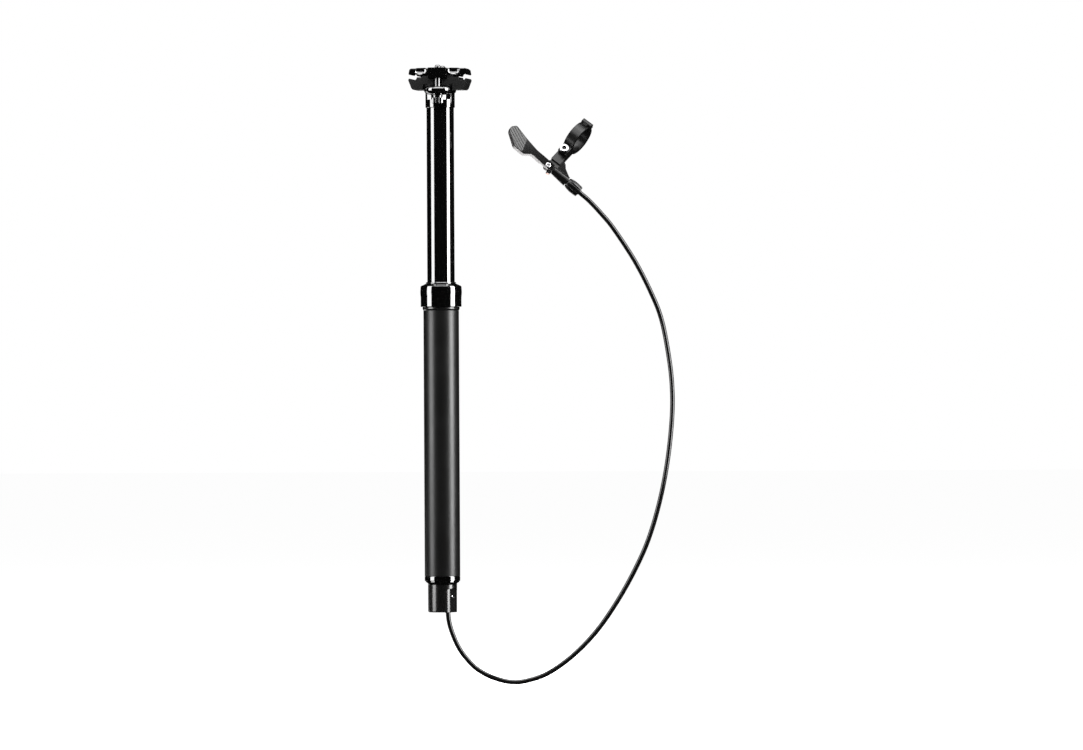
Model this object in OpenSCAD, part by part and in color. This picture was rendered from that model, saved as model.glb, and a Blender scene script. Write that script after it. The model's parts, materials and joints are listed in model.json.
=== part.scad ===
// Dropper seatpost with a two-bolt saddle clamp, a gas spring inside, and a
// handlebar remote joined to it by a cable housing. Millimetres, +Z up the post.
// The origin is on the post's axis at the top of the part that goes into the seat tube.

/* [Outer post] */
// Outside diameter of the outer tube, a standard seat tube size
post_d = 31.6; // [30.4:0.1:34.9]
// Wall of the outer tube
post_wall = 2; // [1.6:0.1:2.2]
// Length that can go into the seat tube
post_len = 235; // [215:1:300]
// Height of the flare under the collar
flare_h = 4.5; // [2:0.5:8]
// How far the flare stands out from the tube
flare_rise = 0.65; // [0.4:0.05:1.5]
// Height of the threaded neck above the flare
neck_h = 11.5; // [8:0.5:20]
// Width of the keyways inside the outer tube
keyway_w = 4; // [3:0.1:5]
// Depth of the keyways
keyway_depth = 1.2; // [0.8:0.1:1.3]
// Length of the upper bush
bush_len = 27; // [15:1:40]

/* [Seal collar] */
// Height of the seal collar
collar_h = 21.2; // [19:0.1:30]
// How far the collar's skirt stands out from the tube
collar_proud = 2.35; // [1.8:0.05:4]
// How far its bulge stands out from its skirt
collar_bulge = 0.35; // [0:0.05:1]
// Height of the wiper seal's body
wiper_h = 4.4; // [3:0.1:4.8]
// Height of the wiper's lip above the collar
wiper_lip = 0.8; // [0.3:0.1:2]

/* [Inner post] */
// Outside diameter of the inner tube
inner_d = 24.4; // [23.8:0.1:25]
// Wall of the inner tube
inner_wall = 1.7; // [1.5:0.1:2.2]
// Travel of the post
travel = 150; // [100:5:150]
// Room left between the wiper and the head at full drop
head_room = 5.3; // [2:0.1:15]
// Room left under the inner tube at full drop
drop_room = 1; // [0.5:0.1:5]
// Length of the lower bush
low_bush_len = 13; // [8:0.5:20]
// Length of each guide key
key_len = 12; // [8:1:20]
// Number of guide keys
key_count = 3; // [2:1:4]

/* [Gas spring] */
// Outside diameter of the gas cylinder
cyl_d = 19.6; // [18.6:0.1:19.8]
// Wall of the gas cylinder
cyl_wall = 1.3; // [1:0.1:1.6]
// Diameter of the piston rod
rod_d = 10; // [9:0.1:11]
// Length of the rod guide
guide_len = 12; // [9:0.5:16]
// Length of the piston
piston_len = 14; // [10:0.5:18]
// Length of the floating piston
float_len = 12; // [8:0.5:16]
// Gas room left above the floating piston at full drop
gas_room = 8; // [4:0.5:14]
// Diameter of the stud that holds the cylinder in the head
stud_d = 8; // [6:0.1:10]

/* [Base and actuator] */
// Height of the gloss band at the foot of the outer tube
band_h = 3.8; // [2:0.1:8]
// Height of the taper under the band
taper_h = 3.6; // [2:0.1:8]
// Length of the plug inside the tube
plug_len = 12; // [9:0.5:16]
// Diameter of the actuator housing
act_d = 25.8; // [25:0.1:27]
// Height of the actuator housing
act_h = 24.6; // [24:0.1:32]
// Wall of the actuator housing
act_wall = 2.9; // [2:0.1:3.2]
// Direction of the cable side, from the cable's plane towards the viewer
cam_azimuth = -35; // [-60:1:-10]
// Distance of the cable from the post's axis
cable_offset = 5.9; // [5.6:0.1:6.5]
// Diameter of the release pin
pin_d = 3; // [2.6:0.1:4.4]

/* [Saddle clamp] */
// Diameter of the head where it meets the inner tube
head_d = 26.1; // [25.6:0.1:28]
// Height of the head's body above its shoulder
head_h = 16.6; // [14:0.1:18]
// Diameter of a saddle rail
rail_d = 7; // [6.8:0.1:7.2]
// Distance between the saddle rails
rail_gap = 44; // [43:0.5:46]
// Height of the rails above the head's shoulder
rail_z = 27.4; // [27:0.1:30]
// Width across the clamp's wings
clamp_w = 52; // [51.5:0.5:58]
// Length of the clamp along the rails
clamp_len = 34; // [28:1:44]
// Height of the clamp's top above the rails
clamp_top = 8; // [7.8:0.1:9]
// Distance between the clamp bolts at their nuts
bolt_gap = 33; // [32:0.5:36]
// Diameter of the clamp bolts
bolt_d = 5; // [4:0.1:5.2]
// Outward lean of the clamp bolts
bolt_lean = 4; // [2:0.5:6]

/* [Remote] */
// Diameter of the handlebar in the clamp
bar_d = 22.2; // [22.2:0.1:25.4]
// Wall of the handlebar clamp
ring_wall = 3.1; // [2.8:0.1:5]
// Width of the handlebar clamp
ring_w = 10; // [8:0.5:12]
// Lean of the handlebar from the lever's plane
bar_lean = 18; // [15:1:25]
// Length of the thumb lever from its pivot to its tip
lever_len = 47.9; // [40:0.1:55]
// Thickness of the thumb lever
lever_t = 6; // [5:0.1:7]
// Diameter of the lever's pivot bolt
pivot_d = 3; // [2.5:0.1:3.2]
// Length of the barrel adjuster
adj_len = 14.4; // [13:0.1:18]
// Greatest diameter of the barrel adjuster
adj_d = 11; // [10:0.1:12]
// Number of grip flutes on the barrel adjuster
flute_count = 10; // [6:1:12]

/* [Cable] */
// Diameter of the cable housing
cable_d = 4.2; // [4:0.1:5]
// Diameter of the inner wire
wire_d = 1.2; // [1:0.1:1.6]
// Turn of the plane in which the cable and the remote hang, from the clamp's right side
hang_turn = 7; // [-15:0.5:15]

/* [Fits] */
// Radial clearance of a running fit
run_fit = 0.05; // [0.02:0.01:0.1]
// Gap between fixed pieces that meet
seat_gap = 0.02; // [0:0.01:0.05]
// Gap between pieces that move past each other
move_gap = 0.3; // [0.2:0.05:0.5]

/* [Hidden] */
$fn = 64;
eps = 0.01;

// Colours
matte_black = [0.09, 0.09, 0.09];
gloss_black = [0.03, 0.03, 0.03];
dark_rubber = [0.12, 0.12, 0.12];
steel = [0.72, 0.73, 0.75];
brass = [0.78, 0.62, 0.32];
alloy = [0.62, 0.63, 0.65];
copper = [0.72, 0.45, 0.38];

// Outer post
post_r = post_d / 2;
post_ir = post_r - post_wall;
inner_r = inner_d / 2;
inner_ir = inner_r - inner_wall;
neck_z = flare_h + 0.6;
neck_r = post_r + 0.4;
neck_top = neck_z + neck_h - 0.6;
skirt_r = post_r + collar_proud;
bulge_r = skirt_r + collar_bulge;
collar_top = neck_z + collar_h;
ring_d = 1.16;
web_z = neck_top + ring_d + 2 * seat_gap;
web_h = 1.5;
wiper_z = web_z + web_h;
lip_bore_r = inner_r + 0.5;
wiper_r = neck_r - 1.25;
wiper_top = collar_top + wiper_lip;
bush_z = neck_top - bush_len - 4;

// Inner post and gas spring
plug_top = -post_len + plug_len;
shoulder_z = wiper_top + travel + head_room;
inner_bottom = plug_top + drop_room + travel;
foot_h = 1.8;
foot_r = post_ir - 0.4;
low_bush_z = inner_bottom + foot_h;
key_z = low_bush_z + low_bush_len + 5;
key_seat_r = inner_r - 0.6;
cyl_r = cyl_d / 2;
cyl_ir = cyl_r - cyl_wall;
rod_r = rod_d / 2;
cyl_bottom = inner_bottom + 6;
bumper_z = cyl_bottom + guide_len;
bumper_h = 1.7;
piston_z = bumper_z + bumper_h + move_gap;
piston_top = piston_z + piston_len;
float_rise = travel * pow(rod_r / cyl_ir, 2);
float_low = piston_top + travel + 4;
float_z = float_low - float_rise;
cap_z = float_low + float_len + gas_room;
cap_in = 10;
cap_flange = 4;
cap_top = cap_z + cap_in + cap_flange;
stud_len = 18;
spigot_z = cap_top + 6;

// Base and actuator
band_z = -post_len - band_h;
act_top = band_z - taper_h;
act_bottom = act_top - act_h;
act_r = act_d / 2;
cavity_r = act_r - act_wall;
floor_h = 10.2;
floor_z = act_bottom + floor_h;
rod_seat_z = act_top + 6.4;
pin_r = pin_d / 2;
spring_well_r = 3.8;
pin_flange_r = 3.5;
pin_flange_h = 1.6;
pin_flange_z = act_top - 2.8;
pin_bottom = act_top - 6.6;
pin_top = piston_z - 9;
cam_pivot_s = 1.9;
cam_pivot_z = pin_bottom - 2.5;
cam_pin_d = 2.9;
cam_pin_end = act_r - 1.1;
cam_pin_len = cam_pin_end + cavity_r + 1.3;
cam_t = 6;
nose_r = 1.9;
nipple_r = 1.6;
cam_end_r = 2.6;
flat_depth = 1.4;
flat_at = act_r - flat_depth;
ferrule_wall = 0.5;
ferrule_r = cable_d / 2 + 0.1 + ferrule_wall;
ferrule_top = floor_z - 1.6;
grub_d = 3;
wire_r = wire_d / 2;
wire_bore_r = wire_r + 0.25;

// Release spring: four working curls of round wire between the rod and the pin's flange
spring_wire = 0.7;
spring_curls = 4;
spring_r = 2.95;
spring_foot = pin_flange_z + spring_wire / 2 + 0.1;
spring_head = rod_seat_z - spring_wire / 2 - 0.1;
spring_rings = 8;
spring_sides = 6;

// Saddle clamp
head_r = head_d / 2;
rail_r = rail_d / 2;
rail_x = rail_gap / 2;
rails_z = shoulder_z + rail_z;
tilt_z = rails_z + 3.5;
clamp_top_z = rails_z + clamp_top;
wing_z = rails_z - 11.6;
belly_z = rails_z - 16.3;
belly_r = tilt_z - belly_z;
wing_x = head_r + 0.35;
jaw_gap = 1.7;
seam_gap = 0.5;
bolt_r = bolt_d / 2;
bolt_y = bolt_gap / 2;
nut_r = 3.9;
nut_len = 13;
nut_bore_r = bolt_r + 0.4;
lug_r = 6.2;
lug_y = bolt_y + 1.4;
lug_z = tilt_z - 20.1;
lug_top = tilt_z - 12.3;
ear_r = head_r - 0.1;
ear_y = bolt_y - 5.5;
ear_rise = 4;
seat_at = -20.5;
washer_t = 2.1;
bolt_head_r = bolt_r * 1.7;
bolt_head_h = bolt_d;
bolt_end = 7;
bolt_reach = bolt_d * 6;
slot_out = bolt_d * 4;
slot_in = 3.8;

// Remote: its frame has X along the lever towards the cable, Y towards the bar, Z up from the lever.
// Its place, like the cable's route, is given in the plane in which they hang.
remote_at = [95.3, 0, 129.9];
remote_turn = 43.3;
remote_roll = 20;
lever_top = 2.9;
lever_end_t = 3.9;
lever_low = lever_top - lever_t;
lever_end_low = lever_top - lever_end_t;
tongue_top = lever_end_low - 0.2;
tongue_low = tongue_top - 3.8;
boss_r = pivot_d / 2 + 1.2;
ring_at = [2.1, 39.2, 0];
bar_r = bar_d / 2;
ring_r = bar_r + ring_wall;
screw_at = -(ring_r + 4);
hinge_a = 28;
hinge_r = ring_r + 1.2;
hinge_pin_r = 1.25;
clamp_screw_r = 2;
anchor_at = [4.2, -2.4];
anchor_r = 1.9;
anchor_screw_r = 0.8;
barrel_at = [22, 2.75, -2.5];
barrel_lean = 3;
barrel_len = 15.5;
mouth_at = [9, 2.07];
stem_r = 2.7;
stem_len = 8;
adj_gap = 0.5;
adj_end = adj_gap + adj_len - 0.5;
adj_bore_r = ferrule_r + 0.1;
adj_stop = 6;
wire_turn = atan2(anchor_at.y - mouth_at.y, anchor_at.x - mouth_at.x);
wire_run = norm([anchor_at.x - mouth_at.x, anchor_at.y - mouth_at.y]);

// Route of the cable housing, from the actuator to the barrel adjuster
cable_points = [
    [4.8, -3.4, -259.6], [4.8, -3.4, -268], [6, -3.4, -277], [9.1, -3.4, -287],
    [14, -3.4, -298], [20.9, -3.3, -308], [31, -3.2, -318], [45, -3, -325.5],
    [62, -2.6, -329.5], [78, -2.2, -327.5], [95, -1.8, -321], [116, -1.4, -306],
    [137, -1, -284.5], [156, -0.6, -257.5], [172, -0.2, -229], [184, 0.2, -202],
    [194, 0.6, -168.5], [201, 1, -133], [205, 1.4, -97], [205.5, 1.7, -70],
    [203, 2, -43], [196.5, 2.4, -8], [187, 2.7, 17], [172.5, 3, 45.5],
    [154, 3.3, 74], [143, 3.6, 87.5], [132.5, 3.7, 98.8], [123.8, 3.5, 106.4],
    [119.2, 3.4, 110.4]
];
cable_sides = 10;
cable_steps = 2;

function vec_unit(a) = a / norm(a);

// Point and direction on a smooth curve through the points p, t from 0 to 1 on each span
function curve_pt(a, b, c, d, t) =
    0.5 * (2 * b + (c - a) * t + (2 * a - 5 * b + 4 * c - d) * t * t
           + (3 * b - a - 3 * c + d) * t * t * t);
function curve_end(p, i) = p[max(0, min(len(p) - 1, i))];
function curve(p, steps) = [
    for (i = [0 : len(p) - 2], k = [0 : steps - 1])
        curve_pt(curve_end(p, i - 1), p[i], p[i + 1], curve_end(p, i + 2), k / steps),
    p[len(p) - 1]
];
function tangent(p, i) = vec_unit(p[min(i + 1, len(p) - 1)] - p[max(i - 1, 0)]);

// Rings of a tube round the path p; side is a direction that the path never follows
function tube_rings(p, r, sides, side) = [
    for (i = [0 : len(p) - 1])
        let (t = tangent(p, i), a = vec_unit(cross(t, side)), b = cross(t, a))
            for (k = [0 : sides - 1])
                p[i] + r * (cos(360 * k / sides) * a + sin(360 * k / sides) * b)
];
function tube_faces(rings, sides) = concat(
    [for (i = [0 : rings - 2], k = [0 : sides - 1])
        [i * sides + k, (i + 1) * sides + k, i * sides + (k + 1) % sides]],
    [for (i = [0 : rings - 2], k = [0 : sides - 1])
        [i * sides + (k + 1) % sides, (i + 1) * sides + k, (i + 1) * sides + (k + 1) % sides]],
    [for (k = [1 : sides - 2]) [0, k, k + 1]],
    [for (k = [1 : sides - 2])
        [(rings - 1) * sides, (rings - 1) * sides + k + 1, (rings - 1) * sides + k]]
);

module tube_along(p, r, sides, side) {
    polyhedron(tube_rings(p, r, sides, side), tube_faces(len(p), sides), convexity = 10);
}

// A ring, a disc with a hole, from z0 to z1
module ring(r_in, r_out, z0, z1) {
    translate([0, 0, z0]) difference() {
        cylinder(r = r_out, h = z1 - z0);
        translate([0, 0, -1]) cylinder(r = r_in, h = z1 - z0 + 2);
    }
}

module rod(r, z0, z1) {
    translate([0, 0, z0]) cylinder(r = r, h = z1 - z0);
}

// A rubber ring of round section
module o_ring(r, d, z) {
    translate([0, 0, z]) rotate_extrude() translate([r, 0]) circle(d = d);
}

// The slice between two angles, as a prism across the plane
module wedge(a0, a1, r, h) {
    steps = ceil((a1 - a0) / 40);
    linear_extrude(height = h, center = true)
        polygon(concat([[0, 0]],
            [for (i = [0 : steps]) let (a = a0 + (a1 - a0) * i / steps) r * [cos(a), sin(a)]]));
}

module along_x(r, len) {
    rotate([0, 90, 0]) cylinder(r = r, h = len, center = true);
}

module along_y(r, len) {
    rotate([90, 0, 0]) cylinder(r = r, h = len, center = true);
}

// Outer post
module outer_tube() {
    color(matte_black) difference() {
        rotate_extrude() polygon([
            [post_ir, -post_len], [post_r, -post_len], [post_r, 0],
            [post_r + flare_rise, flare_h], [post_r + flare_rise, neck_z - 0.02],
            [neck_r, neck_z - 0.02], [neck_r, neck_top], [post_ir, neck_top]
        ]);
        for (i = [0 : key_count - 1])
            rotate([0, 0, 90 + 360 * i / key_count])
                translate([0, -keyway_w / 2, -post_len - 1])
                    cube([post_ir + keyway_depth, keyway_w, post_len + bush_z]);
    }
}

module seal_collar() {
    color(gloss_black) rotate_extrude() polygon([
        [neck_r + run_fit, neck_z], [skirt_r - 0.45, neck_z], [skirt_r, neck_z + 0.45],
        [skirt_r, neck_z + collar_h * 0.4], [bulge_r, neck_z + collar_h * 0.6],
        [bulge_r - 0.2, neck_z + collar_h * 0.73], [skirt_r - 0.1, collar_top - 3.2],
        [skirt_r - 0.5, collar_top - 2.2], [skirt_r - 1.6, collar_top - 1.3],
        [skirt_r - 3.8, collar_top - 0.4], [lip_bore_r + 0.8, collar_top],
        [lip_bore_r, collar_top], [lip_bore_r, wiper_z + wiper_h + 0.1],
        [wiper_r + seat_gap, wiper_z + wiper_h + 0.1], [wiper_r + seat_gap, wiper_z],
        [lip_bore_r, wiper_z], [lip_bore_r, web_z], [neck_r + run_fit, web_z]
    ]);
}

module wiper_seal() {
    color(dark_rubber) rotate_extrude() polygon([
        [inner_r + run_fit, wiper_z + seat_gap], [wiper_r, wiper_z + seat_gap],
        [wiper_r, wiper_z + wiper_h], [lip_bore_r - 0.1, wiper_z + wiper_h],
        [lip_bore_r - 0.1, wiper_top - 0.2], [inner_r + run_fit, wiper_top]
    ]);
}

module collar_o_ring() {
    color(dark_rubber)
        o_ring((post_ir + neck_r) / 2, ring_d, neck_top + ring_d / 2 + seat_gap);
}

module upper_bush() {
    color(brass) difference() {
        ring(inner_r + run_fit, post_ir - seat_gap, bush_z, bush_z + bush_len);
        translate([0, -0.5, bush_z - 1]) cube([post_r, 1, bush_len + 2]);
    }
}

// Base and actuator
module base_plug() {
    color(gloss_black) difference() {
        rotate_extrude() polygon([
            [0, act_top], [act_r + 0.1, act_top], [act_r + 0.7, act_top + taper_h * 0.3],
            [post_r - 0.8, band_z - taper_h * 0.4], [post_r - 0.8, band_z - 0.1],
            [post_r, band_z + 0.2],
            [post_r, -post_len - seat_gap], [post_ir - seat_gap, -post_len - seat_gap],
            [post_ir - seat_gap, plug_top - 0.6], [post_ir - 0.6, plug_top], [0, plug_top]
        ]);
        rod(rod_r + seat_gap, rod_seat_z, plug_top + 1);
        rod(spring_well_r, act_top - 1, rod_seat_z + eps);
    }
}

// Turns a shape from the cam's own plane, X towards the cable side, to its place
module at_cam() {
    rotate([0, 0, hang_turn + cam_azimuth]) children();
}

module actuator_housing() {
    color(gloss_black) difference() {
        rotate_extrude() polygon([
            [0, act_bottom], [act_r - 0.8, act_bottom], [act_r, act_bottom + 0.8],
            [act_r, act_top - seat_gap], [0, act_top - seat_gap]
        ]);
        rod(cavity_r, floor_z, act_top + 1);
        at_cam() {
            translate([flat_at, -act_r, act_bottom - 1]) cube([act_r, act_d, act_h - 3]);
            translate([cable_offset, 0, act_bottom - 1])
                cylinder(r = ferrule_r + seat_gap, h = ferrule_top - act_bottom + 1);
            translate([cable_offset, 0, ferrule_top - 1]) cylinder(r = wire_bore_r, h = floor_h);
            translate([cam_pivot_s, cam_pin_end, cam_pivot_z]) {
                rotate([90, 0, 0]) cylinder(r = cam_pin_d / 2 + seat_gap, h = cam_pin_len + seat_gap);
                rotate([-90, 0, 0]) translate([0, 0, -eps])
                    cylinder(r = cam_pin_d / 2 + seat_gap, h = act_r);
            }
            translate([act_r, 0, cam_pivot_z - 1.5]) along_x(grub_d / 2 + seat_gap, act_d / 2);
        }
    }
}

module actuator_grub_screw() {
    screw_len = flat_at - cavity_r - 0.3;
    color(steel) at_cam() translate([flat_at - 0.3, 0, cam_pivot_z - 1.5]) rotate([0, -90, 0])
        difference() {
            cylinder(d = grub_d, h = screw_len);
            translate([0, 0, -eps]) cylinder(d = grub_d * 0.55, h = screw_len / 2, $fn = 6);
        }
}

module cam_pivot_pin() {
    color(steel) at_cam() translate([cam_pivot_s, cam_pin_end, cam_pivot_z])
        rotate([90, 0, 0]) cylinder(d = cam_pin_d, h = cam_pin_len);
}

module lower_ferrule() {
    top = ferrule_top - seat_gap;
    color(steel) at_cam() translate([cable_offset, 0, 0]) difference() {
        rod(ferrule_r, act_bottom - 0.4, top);
        rod(cable_d / 2 + 0.1, act_bottom - 1, top - 0.7);
        rod(wire_bore_r, act_bottom - 1, top + 1);
    }
}

// Points along the release spring, one close curl at each end
function spring_pt(i) =
    let (n = (spring_curls + 2) * spring_rings, turn = 360 * i / spring_rings,
         f = min(1, max(0, (i - spring_rings) / (n - 2 * spring_rings))),
         low = min(i, spring_rings) / spring_rings, top = max(0, i - n + spring_rings) / spring_rings,
         rise = spring_wire + 0.5)
    [spring_r * cos(turn), spring_r * sin(turn),
     spring_foot + rise * (low + top) + f * (spring_head - spring_foot - 2 * rise)];
spring_path = [for (i = [0 : (spring_curls + 2) * spring_rings]) spring_pt(i)];
spring_gap = min([for (i = [0 : len(spring_path) - spring_rings - 1])
    norm(spring_path[i + spring_rings] - spring_path[i])]) - spring_wire;
echo(release_spring_gap = spring_gap);

module release_spring() {
    color(steel) tube_along(spring_path, spring_wire / 2, spring_sides, [0, 0, 1]);
}

// Gas spring
module piston_rod() {
    color(steel) difference() {
        rod(rod_r, rod_seat_z, piston_top);
        rod(pin_r + run_fit, rod_seat_z - 1, pin_top + 3);
    }
}

module piston() {
    color(alloy) difference() {
        ring(rod_r + seat_gap, cyl_ir - 0.08, piston_z, piston_top);
        ring(cyl_ir - 1.6, cyl_ir + 1, piston_z + piston_len / 2 - 1, piston_z + piston_len / 2 + 1);
    }
}

module piston_seal() {
    color(dark_rubber) ring(cyl_ir - 1.6 + seat_gap, cyl_ir - run_fit,
        piston_z + piston_len / 2 - 0.95, piston_z + piston_len / 2 + 0.95);
}

module gas_cylinder() {
    color(alloy) ring(cyl_ir, cyl_r, cyl_bottom, cap_z + cap_in);
}

module cylinder_cap() {
    color(alloy) {
        rod(cyl_ir - seat_gap, cap_z, cap_z + cap_in + 1);
        rod(cyl_r, cap_z + cap_in + seat_gap, cap_top);
        rod(stud_d / 2, cap_top - eps, cap_top + stud_len);
    }
}

module rod_guide() {
    color(brass) difference() {
        ring(rod_r + run_fit, cyl_ir - seat_gap, cyl_bottom, cyl_bottom + guide_len);
        rod(rod_r + 1.6, cyl_bottom + 4, cyl_bottom + 6);
    }
}

module rod_seal() {
    color(dark_rubber)
        ring(rod_r + run_fit, rod_r + 1.6 - seat_gap, cyl_bottom + 4.05, cyl_bottom + 5.95);
}

module top_out_bumper() {
    color(dark_rubber) ring(rod_r + 0.4, cyl_ir - 0.5, bumper_z + seat_gap, bumper_z + bumper_h);
}

module floating_piston() {
    color(alloy) difference() {
        rod(cyl_ir - 0.08, float_z, float_z + float_len);
        rod(cyl_ir - 2.6, float_z + 5, float_z + float_len + 1);
        ring(cyl_ir - 1.3, cyl_ir + 1, float_z + 2, float_z + 4);
    }
}

module floating_seal() {
    color(dark_rubber) ring(cyl_ir - 1.3 + seat_gap, cyl_ir - run_fit, float_z + 2.05, float_z + 3.95);
}

module release_pin() {
    color(alloy) {
        rod(pin_r, pin_bottom, pin_top);
        rod(pin_flange_r, pin_flange_z - pin_flange_h, pin_flange_z);
    }
}

module release_cam() {
    color(steel) at_cam() difference() {
        union() {
            translate([0, 0, cam_pivot_z + 0.3]) along_y(nose_r, cam_t);
            translate([0, -cam_t / 2, cam_pivot_z - 1.7]) cube([cable_offset, cam_t, 3.3]);
            translate([cable_offset, 0, cam_pivot_z]) along_y(cam_end_r, cam_t);
            translate([cam_pivot_s, 0, cam_pivot_z]) along_y(2.4, cam_t);
        }
        translate([cam_pivot_s, 0, cam_pivot_z]) along_y(cam_pin_d / 2 + run_fit, cam_t + 2);
        translate([cable_offset, 0, cam_pivot_z]) along_y(nipple_r + seat_gap, cam_t + 2);
        translate([cable_offset - 0.7, -wire_bore_r, cam_pivot_z - 4])
            cube([5, 2 * wire_bore_r, 4]);
    }
}

module cable_nipple() {
    color(steel) at_cam() translate([cable_offset, 0, cam_pivot_z]) along_y(nipple_r, cam_t - 0.4);
}

module cam_wire() {
    color(steel) at_cam() translate([cable_offset, 0, 0])
        rod(wire_r, ferrule_top + 1.4, cam_pivot_z - nipple_r - 0.2);
}

// Inner post
module inner_tube() {
    color(gloss_black) difference() {
        union() {
            ring(inner_ir, inner_r, inner_bottom, shoulder_z - seat_gap);
            ring(inner_ir, foot_r, inner_bottom, inner_bottom + foot_h);
        }
        for (i = [0 : key_count - 1])
            rotate([0, 0, 90 + 360 * i / key_count])
                translate([key_seat_r, -keyway_w / 2 + run_fit - seat_gap, key_z - seat_gap])
                    cube([5, keyway_w - 2 * run_fit + 2 * seat_gap, key_len + 2 * seat_gap]);
    }
}

module lower_bush() {
    color(brass) difference() {
        ring(inner_r + seat_gap, post_ir - run_fit, low_bush_z + seat_gap, low_bush_z + low_bush_len);
        translate([0, -0.5, low_bush_z - 1]) cube([post_r, 1, low_bush_len + 2]);
    }
}

module guide_keys() {
    color(brass) for (i = [0 : key_count - 1])
        rotate([0, 0, 90 + 360 * i / key_count])
            translate([key_seat_r + seat_gap, -keyway_w / 2 + run_fit, key_z])
                cube([post_ir + keyway_depth - 0.15 - key_seat_r, keyway_w - 2 * run_fit, key_len]);
}

// Turns a shape from a bolt's own axis to its place; side is -1 in front and 1 behind
module at_bolt(side) {
    translate([0, side * bolt_y, tilt_z]) rotate([side * bolt_lean, 0, 0]) children();
}

// Ear that carries a bolt: a straight boss under the lower part of a ball
module lug(side) {
    translate([0, side * lug_y, lug_z]) cylinder(r = lug_r, h = lug_top - lug_z);
    translate([-lug_r, min(0, side * lug_y), lug_z]) cube([2 * lug_r, lug_y, lug_top - lug_z]);
    intersection() {
        translate([0, side * ear_y, lug_top + ear_rise]) sphere(r = ear_r);
        translate([0, side * ear_y, lug_z]) cylinder(r = 2 * ear_r, h = lug_top - lug_z);
    }
}

module post_head() {
    color(gloss_black) difference() {
        union() {
            rod(head_r, shoulder_z, shoulder_z + head_h);
            rod(inner_ir - seat_gap, spigot_z, shoulder_z + eps);
            for (side = [-1, 1]) lug(side);
        }
        translate([0, 0, tilt_z]) along_x(belly_r + move_gap, 3 * head_d);
        rod(stud_d / 2 + seat_gap, spigot_z - 1, cap_top + stud_len + 1);
        for (side = [-1, 1]) at_bolt(side) {
            rod(bolt_r + 0.4, -bolt_reach, 0);
            rod(bolt_head_r + 1, -bolt_reach, seat_at);
        }
    }
}

module clamp_bolts() {
    head_at = seat_at - washer_t;
    color(steel) for (side = [-1, 1]) at_bolt(side) difference() {
        union() {
            rod(bolt_r, head_at - eps, bolt_end);
            rod(bolt_head_r, head_at - bolt_head_h, head_at);
        }
        translate([0, 0, head_at - bolt_head_h - eps])
            cylinder(d = bolt_d * 0.92, h = bolt_head_h * 0.6, $fn = 6);
    }
}

module bolt_washers() {
    color(steel) for (side = [-1, 1]) at_bolt(side) difference() {
        translate([0, 0, seat_at - washer_t + seat_gap])
            cylinder(r1 = bolt_head_r + 0.2, r2 = bolt_head_r + 0.8, h = washer_t - 2 * seat_gap);
        rod(bolt_r + 0.2, seat_at - washer_t - 1, seat_at + 1);
    }
}

// Saddle clamp
module rail_cuts() {
    for (side = [-1, 1]) translate([side * rail_x, 0, rails_z]) along_y(rail_r, clamp_len + 20);
}

module cradle_wing(side) {
    mirror([side < 0 ? 1 : 0, 0, 0]) rotate([90, 0, 0])
        linear_extrude(height = clamp_len, center = true) polygon([
            [wing_x, wing_z], [clamp_w / 2 - 3.8, wing_z], [clamp_w / 2 - 2.4, wing_z + 1.4],
            [clamp_w / 2 + 0.3, rails_z - 3.2], [clamp_w / 2 - 0.2, rails_z - jaw_gap],
            [rail_x, rails_z - jaw_gap], [rail_x, rails_z - seam_gap], [wing_x, rails_z - seam_gap]
        ]);
}

module lower_cradle() {
    bed_z = rails_z + 0.5;
    pocket_x = nut_len / 2 + 2.1;
    color(gloss_black) difference() {
        union() {
            for (side = [-1, 1]) cradle_wing(side);
            intersection() {
                translate([-wing_x - eps, -clamp_len / 2, belly_z - 1])
                    cube([2 * wing_x + 2 * eps, clamp_len, bed_z - belly_z + 1]);
                translate([0, 0, tilt_z]) along_x(belly_r, clamp_w);
                translate([0, 0, tilt_z]) along_y(belly_r + 0.2, clamp_len + 2);
            }
        }
        rail_cuts();
        for (side = [-1, 1])
            translate([-bolt_r - 1.2, side < 0 ? -bolt_y - slot_out : bolt_y - slot_in, belly_z - 1])
                cube([bolt_d + 2.4, slot_out + slot_in, tilt_z - belly_z]);
        for (side = [-1, 1])
            translate([-pocket_x, side < 0 ? -bolt_y - slot_out : bolt_y - nut_r - 2, tilt_z - nut_r - 1.6])
                cube([2 * pocket_x, slot_out + nut_r + 2, slot_out]);
    }
}

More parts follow.
